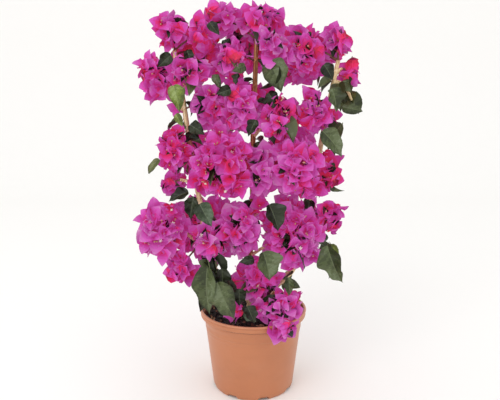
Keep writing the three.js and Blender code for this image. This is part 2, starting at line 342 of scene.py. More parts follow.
def size_property(name, description, millimetres):
    """A length property whose default is given in millimetres."""
    return FloatProperty(
        name=name, description=description, default=millimetres * MM, unit="LENGTH")


class BushSizes(bpy.types.PropertyGroup):
    """Sizes of the plant's small parts, and how thickly they stand."""

    seed: IntProperty(name="Seed", description="Start of every random draw", default=18)
    head_spacing: size_property("Head spacing", "Least distance between a mass's outer heads", 18)
    bract_length: size_property("Bract length", "Length of a full-grown bract", 27)
    bract_width: size_property("Bract width", "Greatest width of a full-grown bract", 23.5)
    flower_length: size_property("Flower length", "Length of the tubular flower on a bract", 15)
    leaf_length: size_property("Leaf length", "Length of an ordinary leaf", 42)
    leaf_share: FloatProperty(
        name="Leaves per spray", description="How many leaves a spray carries on average",
        default=0.42)
    twig_radius: size_property("Twig radius", "Radius of a shoot where it leaves its limb", 1.7)


def colour_property(name, description, hex_colour):
    """A colour property whose default is an sRGB hex value."""
    return FloatVectorProperty(
        name=name, description=description, subtype="COLOR", size=3, min=0, max=1,
        default=linear(hex_colour))


class BushColours(bpy.types.PropertyGroup):
    """Base colours of the plant and the pot."""

    ember: colour_property("Bract ember", "The warm red at the heart of some heads", "bf3048")
    crimson: colour_property("Bract crimson", "The heart of a head", "cc2a58")
    rose: colour_property("Bract rose", "Between heart and blade", "c43078")
    magenta: colour_property("Bract magenta", "The main colour of the bracts", "bd3f9a")
    purple: colour_property("Bract purple", "The cooler outer half of a bract", "bc52a6")
    lilac: colour_property("Bract lilac", "Pale tips and older bracts", "bb67a8")
    wine: colour_property("Bract wine", "Shaded and folded bracts", "8a2049")
    pale: colour_property("Bract pale", "The palest tips", "bc84ae")
    leaf_green: colour_property("Leaf green", "An ordinary leaf", "525c3a")
    # The darkest leaf colour: partly a darker leaf, partly painted shade for leaves in the depth of
    # the crown.
    leaf_dark_and_shaded: colour_property("Leaf dark", "A leaf in the depth of the crown", "262c19")
    leaf_blue: colour_property("Leaf blue-green", "A leaf with a waxy bloom", "4a5742")
    leaf_bright: colour_property("Leaf bright", "A young leaf", "78873f")
    leaf_olive: colour_property("Leaf olive", "An older leaf", "60653a")
    midrib: colour_property("Midrib", "The rib along the middle of a leaf", "858f6c")
    shoot: colour_property("Shoot", "Young reddish shoots", "7a5340")
    pot: colour_property("Pot", "Terracotta-coloured plastic", "bc7751")


def sizes():
    """The scene's size settings."""
    return bpy.context.scene.bush_sizes


def colours():
    """The scene's colour settings."""
    return bpy.context.scene.bush_colours


# ---- Pot ----


FOOT_INSET = 23 * MM  # How much narrower the foot is than the rim.
FOOT_CORNER = 4 * MM
FOOT_POINTS = 26  # The section's points that a drainage notch may lift.
INNER_POINTS = 33  # The section's last points, on the inner wall and floor.


def arc(centre, radius, start, end, points):
    """Points of a circular arc in the radius-height plane, between two angles in degrees."""
    angle = np.radians(np.linspace(start, end, points))
    return np.stack(
        [centre[0] + radius * np.cos(angle), centre[1] + radius * np.sin(angle)], axis=-1)


def straights(*corners):
    """Evenly spaced points along straight lines through corners of (radius, height, number of
    points up to the next corner), without the last corner."""
    return np.concatenate([
        np.linspace(corner[:2], after[:2], corner[2], endpoint=False)
        for corner, after in zip(corners, corners[1:])])


def pot_profile():
    """The pot's section, from the middle of its underside, up the outside, over the rolled rim
    and down the inside to the middle of its floor. Two faint steps run under the rim band."""
    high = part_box("pot")[1]
    rim, top = high.x, high.z
    base, neck, wall, floor = rim - FOOT_INSET, rim - 9 * MM, 2.2 * MM, 3 * MM
    neck_height, band = top - 25 * MM, top - 12 * MM

    def body(z):
        """Outer radius of the tapering body at height z."""
        return base + (neck - base) * z / neck_height

    step, ledge = 0.7 * MM, 0.9 * MM
    first, second = top - 33.5 * MM, top - 40 * MM
    return np.concatenate([
        straights((0, 0, 14), (base - FOOT_CORNER, 0)),
        arc((base - FOOT_CORNER, FOOT_CORNER), FOOT_CORNER, -90, 0, 7),
        straights(
            (body(5 * MM), 5 * MM, 26), (body(second), second, 2),
            (body(second) + step * 0.5, second + ledge, 4), (body(first), first, 3),
            (body(first) + step, first + ledge, 5), (neck, neck_height, 5),
            (neck + 2.6 * MM, neck_height + 7.5 * MM, 4), (neck + 3.4 * MM, band + 0.9 * MM, 3),
            (rim - 3 * MM, band + 0.2 * MM)),
        arc((rim - 2.4 * MM, band + 1.7 * MM), 1.5 * MM, -90, 0, 6),
        straights(
            (rim - 0.9 * MM, band + 2 * MM, 5), (rim - 1.1 * MM, top - 5.2 * MM, 3),
            (rim - 1.9 * MM, top - 4.5 * MM)),
        arc((rim - 2.3 * MM, top - 2.3 * MM), 2.3 * MM, -70, 180, 16),
        straights(
            (rim - 4.7 * MM, top - 2.8 * MM, 5), (rim - 5 * MM, band, 6),
            (neck - wall, neck_height, 12), (base - wall, floor + 2 * MM)),
        arc((base - wall - 2 * MM, floor + 2 * MM), 2 * MM, 0, -90, 5),
        straights((base - wall - 3 * MM, floor, 8), (0, floor)),
        [(0, floor)],
    ])


def moulded_plastic():
    """Polypropylene, injection moulded: a satin terracotta skin with a chalky bloom where it has
    been handled, faint flow bands, a fine grain from the mould's surface, a painted highlight
    along the lip, and a darker inside."""
    material, tree, shader = new_material("moulded terracotta polypropylene")
    base = tuple(colours().pot)
    dust_and_highlight = tuple(0.78 * c + 0.22 * d for c, d in zip(base, linear("cfa58f")))
    place = add_node(tree, "ShaderNodeTexCoord").outputs["Object"]
    # Flow bands are 80 mm long and 45 mm high, and clouds of bloom some 40 mm across.
    bands = add_node(
        tree, "ShaderNodeMapping", inputs={"Scale": (12, 12, 22)}, links={"Vector": place})
    flow = add_node(
        tree, "ShaderNodeTexNoise", inputs={"Scale": 1.0, "Detail": 5, "Roughness": 0.55},
        links={"Vector": bands.outputs["Vector"]})
    clouds = add_node(
        tree, "ShaderNodeTexNoise", inputs={"Scale": 24, "Detail": 6, "Roughness": 0.6},
        links={"Vector": place})
    tone = add_node(tree, "ShaderNodeValToRGB", links={"Fac": flow.outputs["Fac"]})
    set_ramp(tone, [
        (stop, tuple(share * c for c in base))
        for stop, share in ((0.30, 0.92), (0.52, 1), (0.75, 1.03))])
    bloom = add_node(tree, "ShaderNodeValToRGB", links={"Fac": clouds.outputs["Fac"]})
    set_ramp(bloom, [(0.5, (0, 0, 0)), (0.75, (0.3, 0.3, 0.3))])
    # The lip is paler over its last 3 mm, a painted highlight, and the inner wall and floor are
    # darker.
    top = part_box("pot")[1].z
    height = add_node(tree, "ShaderNodeSeparateXYZ", links={"Vector": place})
    lip_highlight = add_node(
        tree, "ShaderNodeMapRange",
        inputs={"From Min": top - 4 * MM, "From Max": top - 1 * MM, "To Max": 0.55},
        links={"Value": height.outputs["Z"]})
    # The inner wall and floor are darkened towards near black.
    inner_side = add_node(tree, "ShaderNodeAttribute", settings={"attribute_name": "inner_side"})
    inner_darkening = add_node(
        tree, "ShaderNodeMath", settings={"operation": "MULTIPLY"}, inputs={1: 0.8},
        links={0: inner_side.outputs["Fac"]})
    colour = tone.outputs["Color"]
    # Over the flow tone lie the dust bloom, the painted highlight on the lip and the darkening
    # inside.
    for share, over in (
            (bloom.outputs["Color"], dust_and_highlight),
            (lip_highlight.outputs["Result"], tuple(1.25 * c for c in dust_and_highlight)),
            (inner_darkening.outputs[0], linear("33221a"))):
        layer = add_node(
            tree, "ShaderNodeMix", settings={"data_type": "RGBA"}, inputs={MIX_SECOND: (*over, 1)},
            links={MIX_SHARE: share, MIX_FIRST: colour})
        colour = layer.outputs[MIX_RESULT]
    rough = add_node(
        tree, "ShaderNodeMapRange", inputs={"To Min": 0.30, "To Max": 0.44},
        links={"Value": clouds.outputs["Fac"]})
    tree.links.new(rough.outputs["Result"], shader.inputs["Roughness"])
    # The mould's grain is about 0.3 mm, drawn at 0.8 mm so that it shows.
    grain = add_node(
        tree, "ShaderNodeTexNoise", inputs={"Scale": 1250, "Detail": 2}, links={"Vector": place})
    dress(tree, shader, colour, grain.outputs["Fac"], 0.12, 0.2 * MM)
    return material


class BUSH_OT_pot(bpy.types.Operator):
    """Builds the round grow pot with its rolled rim and the drainage notches at its foot"""

    bl_idname = "bush.pot"
    bl_label = "Pot"

    def execute(self, context):
        """The section turned about the axis; where a notch is, the foot's points are lifted to the
        notch's flat top: height times a smooth window in the angle and in the radius."""
        profile = pot_profile()
        turns = 288
        angle = turns_of(turns)
        radius, height = profile[:, 0][:, None], profile[:, 1][:, None]
        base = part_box("pot")[1].x - FOOT_INSET
        notches, notch_turn, half_width, depth = 8, 0.32, 9 * MM, 5.5 * MM
        nearest = (angle * notches / TAU - notch_turn + 0.5) % 1 - 0.5
        gap = np.abs(nearest) * TAU / notches * base
        window = np.clip((half_width - gap) / (1.6 * MM) + 0.5, 0, 1)
        outside = (np.arange(len(profile)) < FOOT_POINTS)[:, None]
        near_edge = np.clip((radius - (base - 9 * MM)) / (1.5 * MM), 0, 1)
        lifted = np.maximum(height, depth * window[None, :] * near_edge * outside)
        ring = np.broadcast_to(radius, lifted.shape)
        points = np.stack([ring * np.cos(angle), ring * np.sin(angle), lifted], axis=-1)[1:-1]
        rows = len(points)
        piece = make_object("pot_body", points, tube_faces(1, rows, turns), [moulded_plastic()])
        # Marks the inner wall and floor, which the material darkens.
        inside = (np.arange(rows) > rows - INNER_POINTS)[:, None] * np.ones(turns)
        give_attribute(piece, "inner_side", inside)
        fasten(piece, ["pot"])
        return {"FINISHED"}


# ---- Soil ----


def potting_mix():
    """Damp peat and composted bark, screened and filled loose: almost black, rough all through,
    with a slightly lighter crumb where it has begun to dry."""
    material, tree, shader = new_material("damp potting mix")
    place = add_node(tree, "ShaderNodeTexCoord").outputs["Object"]
    # Crumbs are 1 to 3 mm across.
    crumb = add_node(
        tree, "ShaderNodeTexNoise", inputs={"Scale": 420, "Detail": 6}, links={"Vector": place})
    tone = add_node(tree, "ShaderNodeValToRGB", links={"Fac": crumb.outputs["Fac"]})
    set_ramp(tone, [(0.38, linear("0c0908")), (0.58, linear("1d1411")), (0.78, linear("3a2a20"))])
    dress(tree, shader, tone.outputs["Color"], crumb.outputs["Fac"], 0.7, 1.2 * MM)
    shader.inputs["Roughness"].default_value = 0.92
    return material


# The bed's unevenness: radians per metre of each size of ripple, and its height.
SOIL_RIPPLES = ((95, 2.24 * MM), (260, 1.54 * MM), (700, 1.12 * MM), (1500, 0.7 * MM))
CHIPS = 2200
CHIP_LENGTH, LONGEST_CHIP = 2.3 * MM, 6 * MM
# Bark chips are torn and matt: near black where wet, red-brown where the inside shows. Each has
# its colour and its share of the chips.
CHIP_TONES = {
    "wet": ("14100d", 0.4), "dark": ("241a14", 0.32), "brown": ("3f2c21", 0.16),
    "red-brown": ("6b402b", 0.07), "tan": ("a07d5c", 0.05),
}


def ripples(points, waves, seed):
    """Smooth uneven height: for each (wave number, height) pair, the mean of five sines along
    random directions."""
    rng = np.random.default_rng(seed)
    total = np.zeros(points.shape[:-1])
    for number, height in waves:
        for _ in range(5):
            direction = unit(rng.normal(size=points.shape[-1])) * number
            total += height * np.sin(points @ direction + rng.uniform(0, TAU)) / 5
    return total


class BUSH_OT_soil(bpy.types.Operator):
    """Fills the pot with an uneven bed of potting mix strewn with chips of bark"""

    bl_idname = "bush.soil"
    bl_label = "Soil"

    def execute(self, context):
        """The bed is a closed shell of rings about the axis, with ripples added to its top. A chip
        is a box of eight corners, each moved a little at random, and laid at a random turn."""
        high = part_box("soil")[1]
        rng = np.random.default_rng(sizes().seed + 1)
        radius, turns = high.x - 0.4 * MM, 160
        angle = turns_of(turns)

        def height_at(x, y):
            """Height of the bed's top at a point."""
            return high.z - 2.6 * MM + ripples(np.stack([x, y], axis=-1), SOIL_RIPPLES, seed=5)

        rings = radius * np.linspace(1, 0.004, 64)[:, None]
        top_x, top_y = rings * np.cos(angle), rings * np.sin(angle)
        top = np.stack([top_x, top_y, height_at(top_x, top_y)], axis=-1)
        low = np.full(turns, high.z - 22 * MM)
        side = np.stack([top_x[0] * 0.97, top_y[0] * 0.97, low], axis=-1)
        points = np.concatenate([(side * [0.01, 0.01, 1])[None], side[None], top])
        faces = tube_faces(1, len(points), turns)
        fasten(make_object("potting_mix", points, faces, [potting_mix()]), ["soil"])

        far = (radius - 8 * MM) * np.sqrt(rng.uniform(0.03, 1, CHIPS))
        turn = rng.uniform(0, TAU, CHIPS)
        x, y = far * np.cos(turn), far * np.sin(turn)
        size = rng.lognormal(math.log(CHIP_LENGTH), 0.45, (CHIPS, 1))
        size = np.minimum(size, LONGEST_CHIP) * [1.25, 0.75, 0.42]
        signs = (-1.0, 1.0)
        corners = np.array([[i, j, k] for i in signs for j in signs for k in signs])
        chips = corners[None] * size[:, None] * rng.uniform(0.6, 1.15, (CHIPS, 8, 3))
        yaw, tip = rng.uniform(0, TAU, (CHIPS, 1)), rng.normal(0, 0.38, (CHIPS, 1))
        length, width, height = chips[..., 0], chips[..., 1], chips[..., 2]
        tipped = length * np.cos(tip) + height * np.sin(tip)
        vertices = np.stack([
            tipped * np.cos(yaw) - width * np.sin(yaw),
            tipped * np.sin(yaw) + width * np.cos(yaw),
            height * np.cos(tip) - length * np.sin(tip),
        ], axis=-1)
        vertices += np.column_stack([x, y, height_at(x, y) + 0.6 * MM])[:, None]
        box = np.array([
            [0, 1, 3, 2], [4, 6, 7, 5], [0, 4, 5, 1], [2, 3, 7, 6], [0, 2, 6, 4], [1, 5, 7, 3]])
        faces = (box[None] + np.arange(CHIPS)[:, None, None] * 8).reshape(-1, 4)
        tones = [
            plain_material(f"bark chip {name}", linear(tone), 0.85)
            for name, (tone, _) in CHIP_TONES.items()]
        kind = rng.choice(len(tones), CHIPS, p=[share for _, share in CHIP_TONES.values()])
        piece = make_object(
            "bark_chips", vertices, faces, tones, np.repeat(kind, len(box)), smooth=False)
        fasten(piece)
        return {"FINISHED"}


# ---- Stems and their bark ----


@functools.cache
def limb_lines():
    """Every limb's line and radii, by node. A leader begins inside the trunk and a bough inside
    its leader, so that they grow out of one another."""
    lines = {"trunk": resample(*rings_of("trunk"), 1.5 * MM)}
    for node in LEADER_NODES + BOUGH_NODES:
        line, radii = rings_of(node)
        into, sunk, narrowed = -UP, 16 * MM, 1.0
        if node in BOUGH_NODES:
            near, far = (
                min(np.abs(end[0] - lines[leader][0][:, 0]).min() for leader in LEADER_NODES)
                for end in (line[0], line[-1]))
            if near > far:
                line, radii = line[::-1], radii[::-1]
            into, sunk, narrowed = unit(line[0] - line[1]), 4 * MM, 0.9
        line = np.concatenate([[line[0] + into * sunk], line])
        lines[node] = resample(line, np.r_[radii[0] * narrowed, radii], 2.4 * MM)
    return lines


# The bark's ridges: how many stand round the stem, how fast they wander along it, their share.
RIDGES = ((4, 40, 0.30), (6, 30, 0.30), (8, 90, 0.25), (12, 200, 0.15))
SCAR_SPACING = 41 * MM


def bark_relief(angle, run, seed):
    """How far bark stands out at an angle round the stem and a run along it, as a share of 1:
    long ridges are one less the size of a sine whose phase wanders along the stem, and raised
    rings at the leaf scars are narrow peaks."""
    rng = np.random.default_rng(seed)
    total = np.zeros(np.broadcast(angle, run).shape)
    for folds, pitch, share in RIDGES:
        wander = 0.5 * np.sin(run * pitch + rng.uniform(0, TAU)) + run * rng.uniform(-4, 4)
        ridge = np.abs(np.sin(folds * angle / 2 + wander + rng.uniform(0, TAU)))
        total += share * (1 - 1.6 * ridge)
    scar = np.cos(run * TAU / SCAR_SPACING + rng.uniform(0, TAU) + 0.5 * np.sin(angle))
    return total + 0.9 * np.exp((scar - 1) * 90)


def bark(name, pale, mid, dark):
    """Young woody bark, smooth and waxy between shallow fissures: pale ridges over darker furrows,
    drawn out along the stem."""
    material, tree, shader = new_material(name)
    along = add_node(tree, "ShaderNodeAttribute", settings={"attribute_name": "bark_height"})
    place = add_node(tree, "ShaderNodeTexCoord").outputs["Object"]
    # Fibres are about 1.5 mm across and 9 mm long.
    drawn = add_node(
        tree, "ShaderNodeMapping", inputs={"Scale": (700, 700, 110)}, links={"Vector": place})
    fibre = add_node(
        tree, "ShaderNodeTexNoise", inputs={"Scale": 1.0, "Detail": 5},
        links={"Vector": drawn.outputs["Vector"]})
    mixed = add_node(
        tree, "ShaderNodeMath", settings={"operation": "MULTIPLY_ADD"}, inputs={1: 0.45},
        links={0: along.outputs["Fac"], 2: fibre.outputs["Fac"]})
    tone = add_node(tree, "ShaderNodeValToRGB", links={"Fac": mixed.outputs[0]})
    set_ramp(tone, [(0.30, linear(dark)), (0.52, linear(mid)), (0.74, linear(pale))])
    dress(tree, shader, tone.outputs["Color"], fibre.outputs["Fac"], 0.35, 0.4 * MM)
    shader.inputs["Roughness"].default_value = 0.68
    return material


def barked_limb(line, radii, sides, relief, flare, seed):
    """A closed tube whose radius is the limb's own plus relief times bark_relief, less on a thin
    limb, with a foot that spreads in five rounded roots: flare times the cube of the closeness to
    the foot."""
    angle, run = turns_of(sides)[None], run_along(line)[:, None]
    height = bark_relief(angle, run, seed)
    foot = flare * (1 - run / run.max()) ** 3 * (0.55 + 0.45 * np.sin(5 * angle + seed))
    radius = radii[:, None] + relief * height * np.minimum(1, radii[:, None] / (4 * MM)) + foot
    ring = rings(*across(unit(np.gradient(line, axis=0))[None]), sides)[0]
    points = line[:, None] + ring * radius[..., None]
    return points.reshape(-1, 3), tube_faces(1, len(line), sides), height.ravel()


# Sides, height of the bark and spread of the foot, for the limbs of each kind.
LIMB_MAKE = {
    "trunk": (48, 0.7 * MM, 2.2 * MM), "leader": (28, 0.26 * MM, 0), "bough": (18, 0.3 * MM, 0)}


class BUSH_OT_stems(bpy.types.Operator):
    """Builds the trunk, the three leaders and the boughs in one mesh with bark relief"""

    bl_idname = "bush.stems"
    bl_label = "Stems"

    def execute(self, context):
        """Each limb is a tube along its line; their meshes are joined, and the height of the bark
        is kept at each point for its colour."""
        parts, heights = [], []
        for number, (node, (line, radii)) in enumerate(limb_lines().items()):
            if node == "trunk":
                line = np.concatenate([[line[0] - UP * 4 * MM], line, [line[-1] + UP * 2.5 * MM]])
                radii = np.r_[radii[0] * 1.05, radii, radii[-1] * 0.72]
            elif node in LEADER_NODES:
                radii = radii * (1 + 0.7 * np.linspace(1, 0, len(radii)) ** 12)
            vertices, faces, height = barked_limb(
                line, radii, *LIMB_MAKE[node.split("_")[0]], number + 3)
            parts.append((vertices, faces, {"leader_middle": 1, "trunk": 2}.get(node, 0)))
            heights.append(height)
        vertices, faces, kinds = joined(parts)
        materials = [
            bark("young bougainvillea bark", "f4e2bc", "ebd2a0", "c4a274"),
            bark("young bougainvillea bark, warm", "cf9a68", "b77c4c", "80522f"),
            bark("old bougainvillea bark", "b8a080", "94795a", "5f4936"),
        ]
        piece = make_object("stems", vertices, faces, materials, kinds)
        give_attribute(piece, "bark_height", np.concatenate(heights))
        fasten(piece, ["trunk"] + LEADER_NODES + BOUGH_NODES)
        return {"FINISHED"}


# ---- The crown's branching rule ----


@functools.cache
def mass_tree():
    """A search tree over the triangles of every mass, with the mass of each triangle."""
    corners = [triangles_of(node) for node in MASS_NODES]
    owner = np.repeat(np.arange(len(MASS_NODES)), [len(c) for c in corners])
    points = np.concatenate(corners).reshape(-1, 3)
    faces = np.arange(len(points)).reshape(-1, 3)
    return BVHTree.FromPolygons(points.tolist(), faces.tolist()), owner


def thinned(points, spacing, taken):
    """Which points to keep so that none is nearer than the spacing to a kept or taken one."""
    kept = []
    for i, point in enumerate(points):
        near = points[kept] if kept else points[:0]
        clear = np.concatenate([near, taken])
        if not len(clear) or ((clear - point) ** 2).sum(axis=1).min() > spacing**2:
            kept.append(i)
    return np.array(kept, int)


NARROW_GAP = 13 * MM  # Two masses nearer than this hide what is between them.
HIDDEN_KEPT = 0.2  # How many of the hidden points are still used.


def spread_points(node, spacing, rng, taken):
    """Points spread evenly over the outside of a mass, with outward normals: seven candidates to
    each square of the spacing are drawn by area, most of those that face another mass across a
    narrow gap are dropped, and the rest are thinned."""
    corners = triangles_of(node)
    cross = np.cross(corners[:, 1] - corners[:, 0], corners[:, 2] - corners[:, 0])
    area = np.linalg.norm(cross, axis=1) / 2
    count = int(area.sum() / spacing**2 * 7) + 12
    pick = rng.choice(len(corners), count, p=area / area.sum())
    share = rng.dirichlet([1, 1, 1], count)
    points = (corners[pick] * share[..., None]).sum(axis=1)
    normals = unit(cross)[pick]
    tree, owner = mass_tree()
    own = MASS_NODES.index(node)
    open_air = np.ones(count, bool)
    for i in range(count):
        face = tree.ray_cast(points[i] + normals[i] * 0.3 * MM, normals[i], NARROW_GAP)[2]
        if face is not None and owner[face] != own:
            open_air[i] = rng.random() < HIDDEN_KEPT
    points, normals = points[open_air], normals[open_air]
    kept = thinned(points, spacing, taken)
    return points[kept], normals[kept]


def grouped(points, count):
    """Splits points into groups: centres are picked one by one, each the point furthest from those
    already picked, and every point joins its nearest centre."""
    centres = [0]
    for _ in range(count - 1):
        gap = np.linalg.norm(points[:, None] - points[centres][None], axis=2).min(axis=1)
        centres.append(int(gap.argmax()))
    return np.linalg.norm(points[:, None] - points[centres][None], axis=2).argmin(axis=1)


def centre_of(node):
    """The middle of a node's box."""
    low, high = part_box(node)
    return np.array((low + high) / 2)


def pointing(turn, lean):
    """A direction turned by degrees from +X in the plane of the fan, leaning out to the front."""
    turn, lean = math.radians(turn), math.radians(lean)
    x, z = math.cos(turn), math.sin(turn)
    return np.array([x * math.cos(lean), -math.sin(lean), z * math.cos(lean)])


def place_in(node, *shares):
    """A point at shares of the width, depth and height of a node's box."""
    low, high = (np.array(corner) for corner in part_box(node))
    return low + (high - low) * shares


# Heads that stand singly off a mass: its node, the head's place in that node's box as shares, the
# way it points and its lean in degrees, how far it is open, and its tone.
SINGLE_HEADS = (
    ("crown_upper_middle", 0.10, 0.75, 0.06, -100, 50, 0.6, 0.2),
    ("crown_upper_middle", 0.62, 0.72, 0.05, -80, 55, 0.7, -0.6),
    ("crown_third_middle", 0.30, 0.75, 0.98, 100, 55, 0.6, 0.3),
    ("crown_upper_wing_left", 0.06, 0.49, 0.85, 120, 40, 0.5, 0.8),
    ("crown_middle_far_left", 0.40, 0.68, 1.22, 200, 35, 0.3, 0.6),
    ("crown_middle_left", 0.50, 0.80, 1.02, 80, 50, 0.7, -0.2),
    ("crown_third_left", 0.45, 0.66, 0.03, -100, 45, 0.5, 0.5),
    ("crown_middle_centre", 0.50, 0.70, -0.06, -90, 50, 0.5, 0.0),
    ("crown_lower_centre", 0.97, 0.85, 1.00, 80, 50, 0.5, 0.4),
    ("crown_top_centre", 0.08, 0.42, 0.75, 110, 40, 0.5, 0.2),
    ("crown_third_far_right", 1.2, 0.7, 0.42, 10, 30, 0.2, -2.0),
)


PULLED_IN = 3 * MM  # How far the heads sit inside their mass's surface.
LOWEST_SEAT = 14 * MM  # A head sits at least this far above its mass's lowest point.
INNER_HEADS = 0.18  # How many heads have another one behind them, in the mass's depth.
# Heads in the mass's depth are this many tones darker, as painted shade.
DEPTH_SHADE_TONE = -1.6
HEADS_PER_SPRAY = 6
MASS_SPREAD, SPRAY_SPREAD, HEAD_SPREAD = 0.25, 0.5, 0.4  # How far the tones of each wander.


@functools.cache
def crown_plan():
    """The whole crown by one seeded rule. Each mass is a region: a shoot grows from the nearest
    limb to its core, forks into sprays, and each spray ends in flower heads near the surface. A
    head's axis mixes the surface's normal, the way out from the core, up, the open side of the
    crown and chance, and its foot lies back along the axis from its point on the surface."""
    rng = np.random.default_rng(sizes().seed)
    length = sizes().bract_length
    limbs = [line[2:] for node, (line, _) in limb_lines().items() if node != "trunk"]
    limb_points = np.concatenate(limbs)
    heads, shoots, hubs, hub_mass, taken = [], [], [], [], np.zeros((0, 3))
    for number, node in enumerate(FLOWER_NODES):
        core = centre_of(node)
        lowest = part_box(node)[0].z + LOWEST_SEAT
        points, normals = spread_points(node, sizes().head_spacing, rng, taken)
        if not len(points):
            continue
        taken = np.concatenate([taken, points])
        points = points - normals * PULLED_IN
        inner = rng.random(len(points)) < INNER_HEADS
        deep = core + (points[inner] - core) * rng.uniform(0.35, 0.62, (inner.sum(), 1))
        deep_normals = unit(normals[inner] + rng.normal(0, 0.7, (inner.sum(), 3)))
        surface = len(points)
        points, normals = np.concatenate([points, deep]), np.concatenate([normals, deep_normals])
        root = limb_points[np.linalg.norm(limb_points - core, axis=1).argmin()]
        shoots.append((root, core))
        groups = grouped(points, max(1, round(len(points) / HEADS_PER_SPRAY)))
        mass_tone = TIERS[tier_of(node)] + rng.normal(0, MASS_SPREAD)
        outward = FRONT if core[1] < BACK_FROM else -FRONT
        for group in range(groups.max() + 1):
            members = np.flatnonzero(groups == group)
            hub = core + (points[members].mean(axis=0) - core) * rng.uniform(0.35, 0.6)
            spray_tone = mass_tone + rng.normal(0, SPRAY_SPREAD)
            for i in members:
                opened = rng.beta(1.4, 1.9)
                scale = np.clip(rng.lognormal(0, 0.13), 0.72, 1.22)
                axis = unit(
                    0.6 * normals[i] + 0.35 * unit(points[i] - core) + 0.14 * UP + 0.4 * outward
                    + rng.normal(0, 0.36, 3))
                base = points[i] - axis * length * scale * (1.12 - 0.35 * opened)
                base[2] = max(base[2], lowest)
                # Heads in the depth take the painted shade tone.
                tone = spray_tone + rng.normal(0, HEAD_SPREAD) + (0 if i < surface else DEPTH_SHADE_TONE)
                heads.append((base, axis, scale, opened, tone, number, len(hubs)))
            hubs.append(hub)
            hub_mass.append(number)
    hubs, hub_mass = np.array(hubs), np.array(hub_mass)
    for node, x, y, z, turn, lean, opened, tone in SINGLE_HEADS:
        number, axis = FLOWER_NODES.index(node), pointing(turn, lean)
        point = place_in(node, x, y, z)
        gap = np.linalg.norm(hubs - point, axis=1) + (hub_mass != number)
        base = point - axis * length * 0.8
        heads.append((base, axis, 1.0, opened, tone, number, int(gap.argmin())))
    names = ("base", "axis", "scale", "open", "tone", "mass", "hub")
    plan = {name: np.array(column) for name, column in zip(names, zip(*heads))}
    return {**plan, "shoots": shoots, "hubs": hubs, "hub_mass": hub_mass}


def around(axes, turns):
    """Directions square to each axis, at a turn about it."""
    helper = np.where(np.abs(axes[:, 2:3]) > 0.9, np.array([[1.0, 0, 0]]), UP[None])
    first = unit(np.cross(axes, helper))
    return first * np.cos(turns)[:, None] + np.cross(axes, first) * np.sin(turns)[:, None]


# ---- Blades: bracts and leaves ----


def blades(
        foot, axis, out, length, width, sweep, cup, wave, phase, outline, s, columns, relief=0.0,
        hook=0.0, waves=9.0, fold=2.0, uneven=0.0):
    """Thin blades on grids of len(s) by len(columns) points, s from foot to tip and t across.
    The midline starts sweep[0] radians off the axis towards out, turns evenly to sweep[1], and
    drifts sideways by hook times s squared. The outline gives half the width as a share, which an
    uneven margin swings in and out. The edges rise by cup times t to the power fold, with a wave
    of its own phase, and relief sinks side veins that run from the midrib towards the tip."""
    s, t = np.asarray(s, float), np.asarray(columns, float)
    length, cup, wave, phase = (values[:, None, None] for values in (length, cup, wave, phase))
    bend = sweep[:, :1] + (sweep[:, 1:] - sweep[:, :1]) * s[None]
    ahead, aside = np.cos(bend)[..., None], np.sin(bend)[..., None]
    heading = ahead * axis[:, None] + aside * out[:, None]
    face = ahead * out[:, None] - aside * axis[:, None]
    step = np.diff(s, prepend=0)[None, :, None] * length
    midline = foot[:, None] + np.cumsum(heading * step, axis=1)
    half = (width[:, None] / 2 * outline(s)[None])[..., None]
    drift = np.reshape(hook, (-1, 1, 1)) * length * s[None, :, None] ** 2
    turn = s[None, :, None] * waves + phase + 1.3 * np.sign(t)
    rise = half * (cup * np.abs(t) ** fold + wave * np.sin(turn) * np.abs(t) ** 1.5)
    half = half * (1 + uneven * np.sin(1.4 * turn + 2.0 * np.sign(t)))
    rise = rise - relief * side_veins(s[:, None], t)[None] * np.minimum(1, 2.5 * half / half.max())
    across_blade = np.cross(axis, out)[:, None, None] * (half * t + drift)[..., None]
    points = midline[:, :, None] + across_blade + face[:, :, None] * rise[..., None]
    return points.reshape(-1, 3), grid_faces(len(foot), len(s), len(t))


VEINS = 5.5  # Side veins on each half of a leaf.


def vein_run(s, t):
    """Which side vein a point of a leaf is at, counted from the foot: the veins leave the midrib
    at equal steps and slant towards the tip."""
    return s * VEINS - np.abs(t) ** 0.8 * 1.3


def side_veins(s, t):
    """How far a point of a leaf is into the furrow of a side vein, from 0 to 1."""
    return np.clip(1 - 2.4 * np.abs(np.sin(vein_run(s, t) * math.pi)), 0, 1)


def outline_of(rise, fall, pinch):
    """The outline of a blade as a share of its greatest half-width: s to the power rise, times
    (1 - s) to the power fall, times 1 less pinch times the cube of s, over its own peak."""

    def raw(s):
        """The outline before it is scaled."""
        return s**rise * (1 - s) ** fall * (1 - pinch * s**3)

    peak = raw(np.linspace(0.01, 0.99, 99)).max()
    return lambda s: raw(s) / peak


# A bract is broad with a short point, a leaf egg-shaped with a drawn-out tip, longer on large ones.
BRACT_OUTLINE = outline_of(0.5, 0.78, 0.3)
LEAF_OUTLINE = outline_of(0.56, 1.0, 0.45)
LARGE_OUTLINE = outline_of(0.56, 1.1, 0.62)

BRACT_COLUMNS = (-1, -0.66, -0.3, 0, 0.3, 0.66, 1)
BRACT_STEPS = (0.01, 0.13, 0.3, 0.5, 0.7, 0.87, 0.99)
LEAF_COLUMNS = (-1, -0.55, -0.05, 0.05, 0.55, 1)
LEAF_STEPS = (0.01, 0.08, 0.2, 0.35, 0.5, 0.64, 0.77, 0.89, 0.99)
LARGE_COLUMNS = (
    -1, -0.84, -0.68, -0.52, -0.36, -0.2, -0.04, 0.04, 0.2, 0.36, 0.52, 0.68, 0.84, 1)
LARGE_STEPS = np.linspace(0.01, 0.99, 41)

TONES = 11
HEART_LEVEL, TONE_RUN = 1.7, 5.8  # The tone of a bract's foot, and how many more to its tip.
# Degrees off the head's axis at a bract's foot and tip: on a closed head, and more on an open one.
CLOSED_SWEEP, OPENED_BY = np.array([14, 34]), np.array([28, 62])


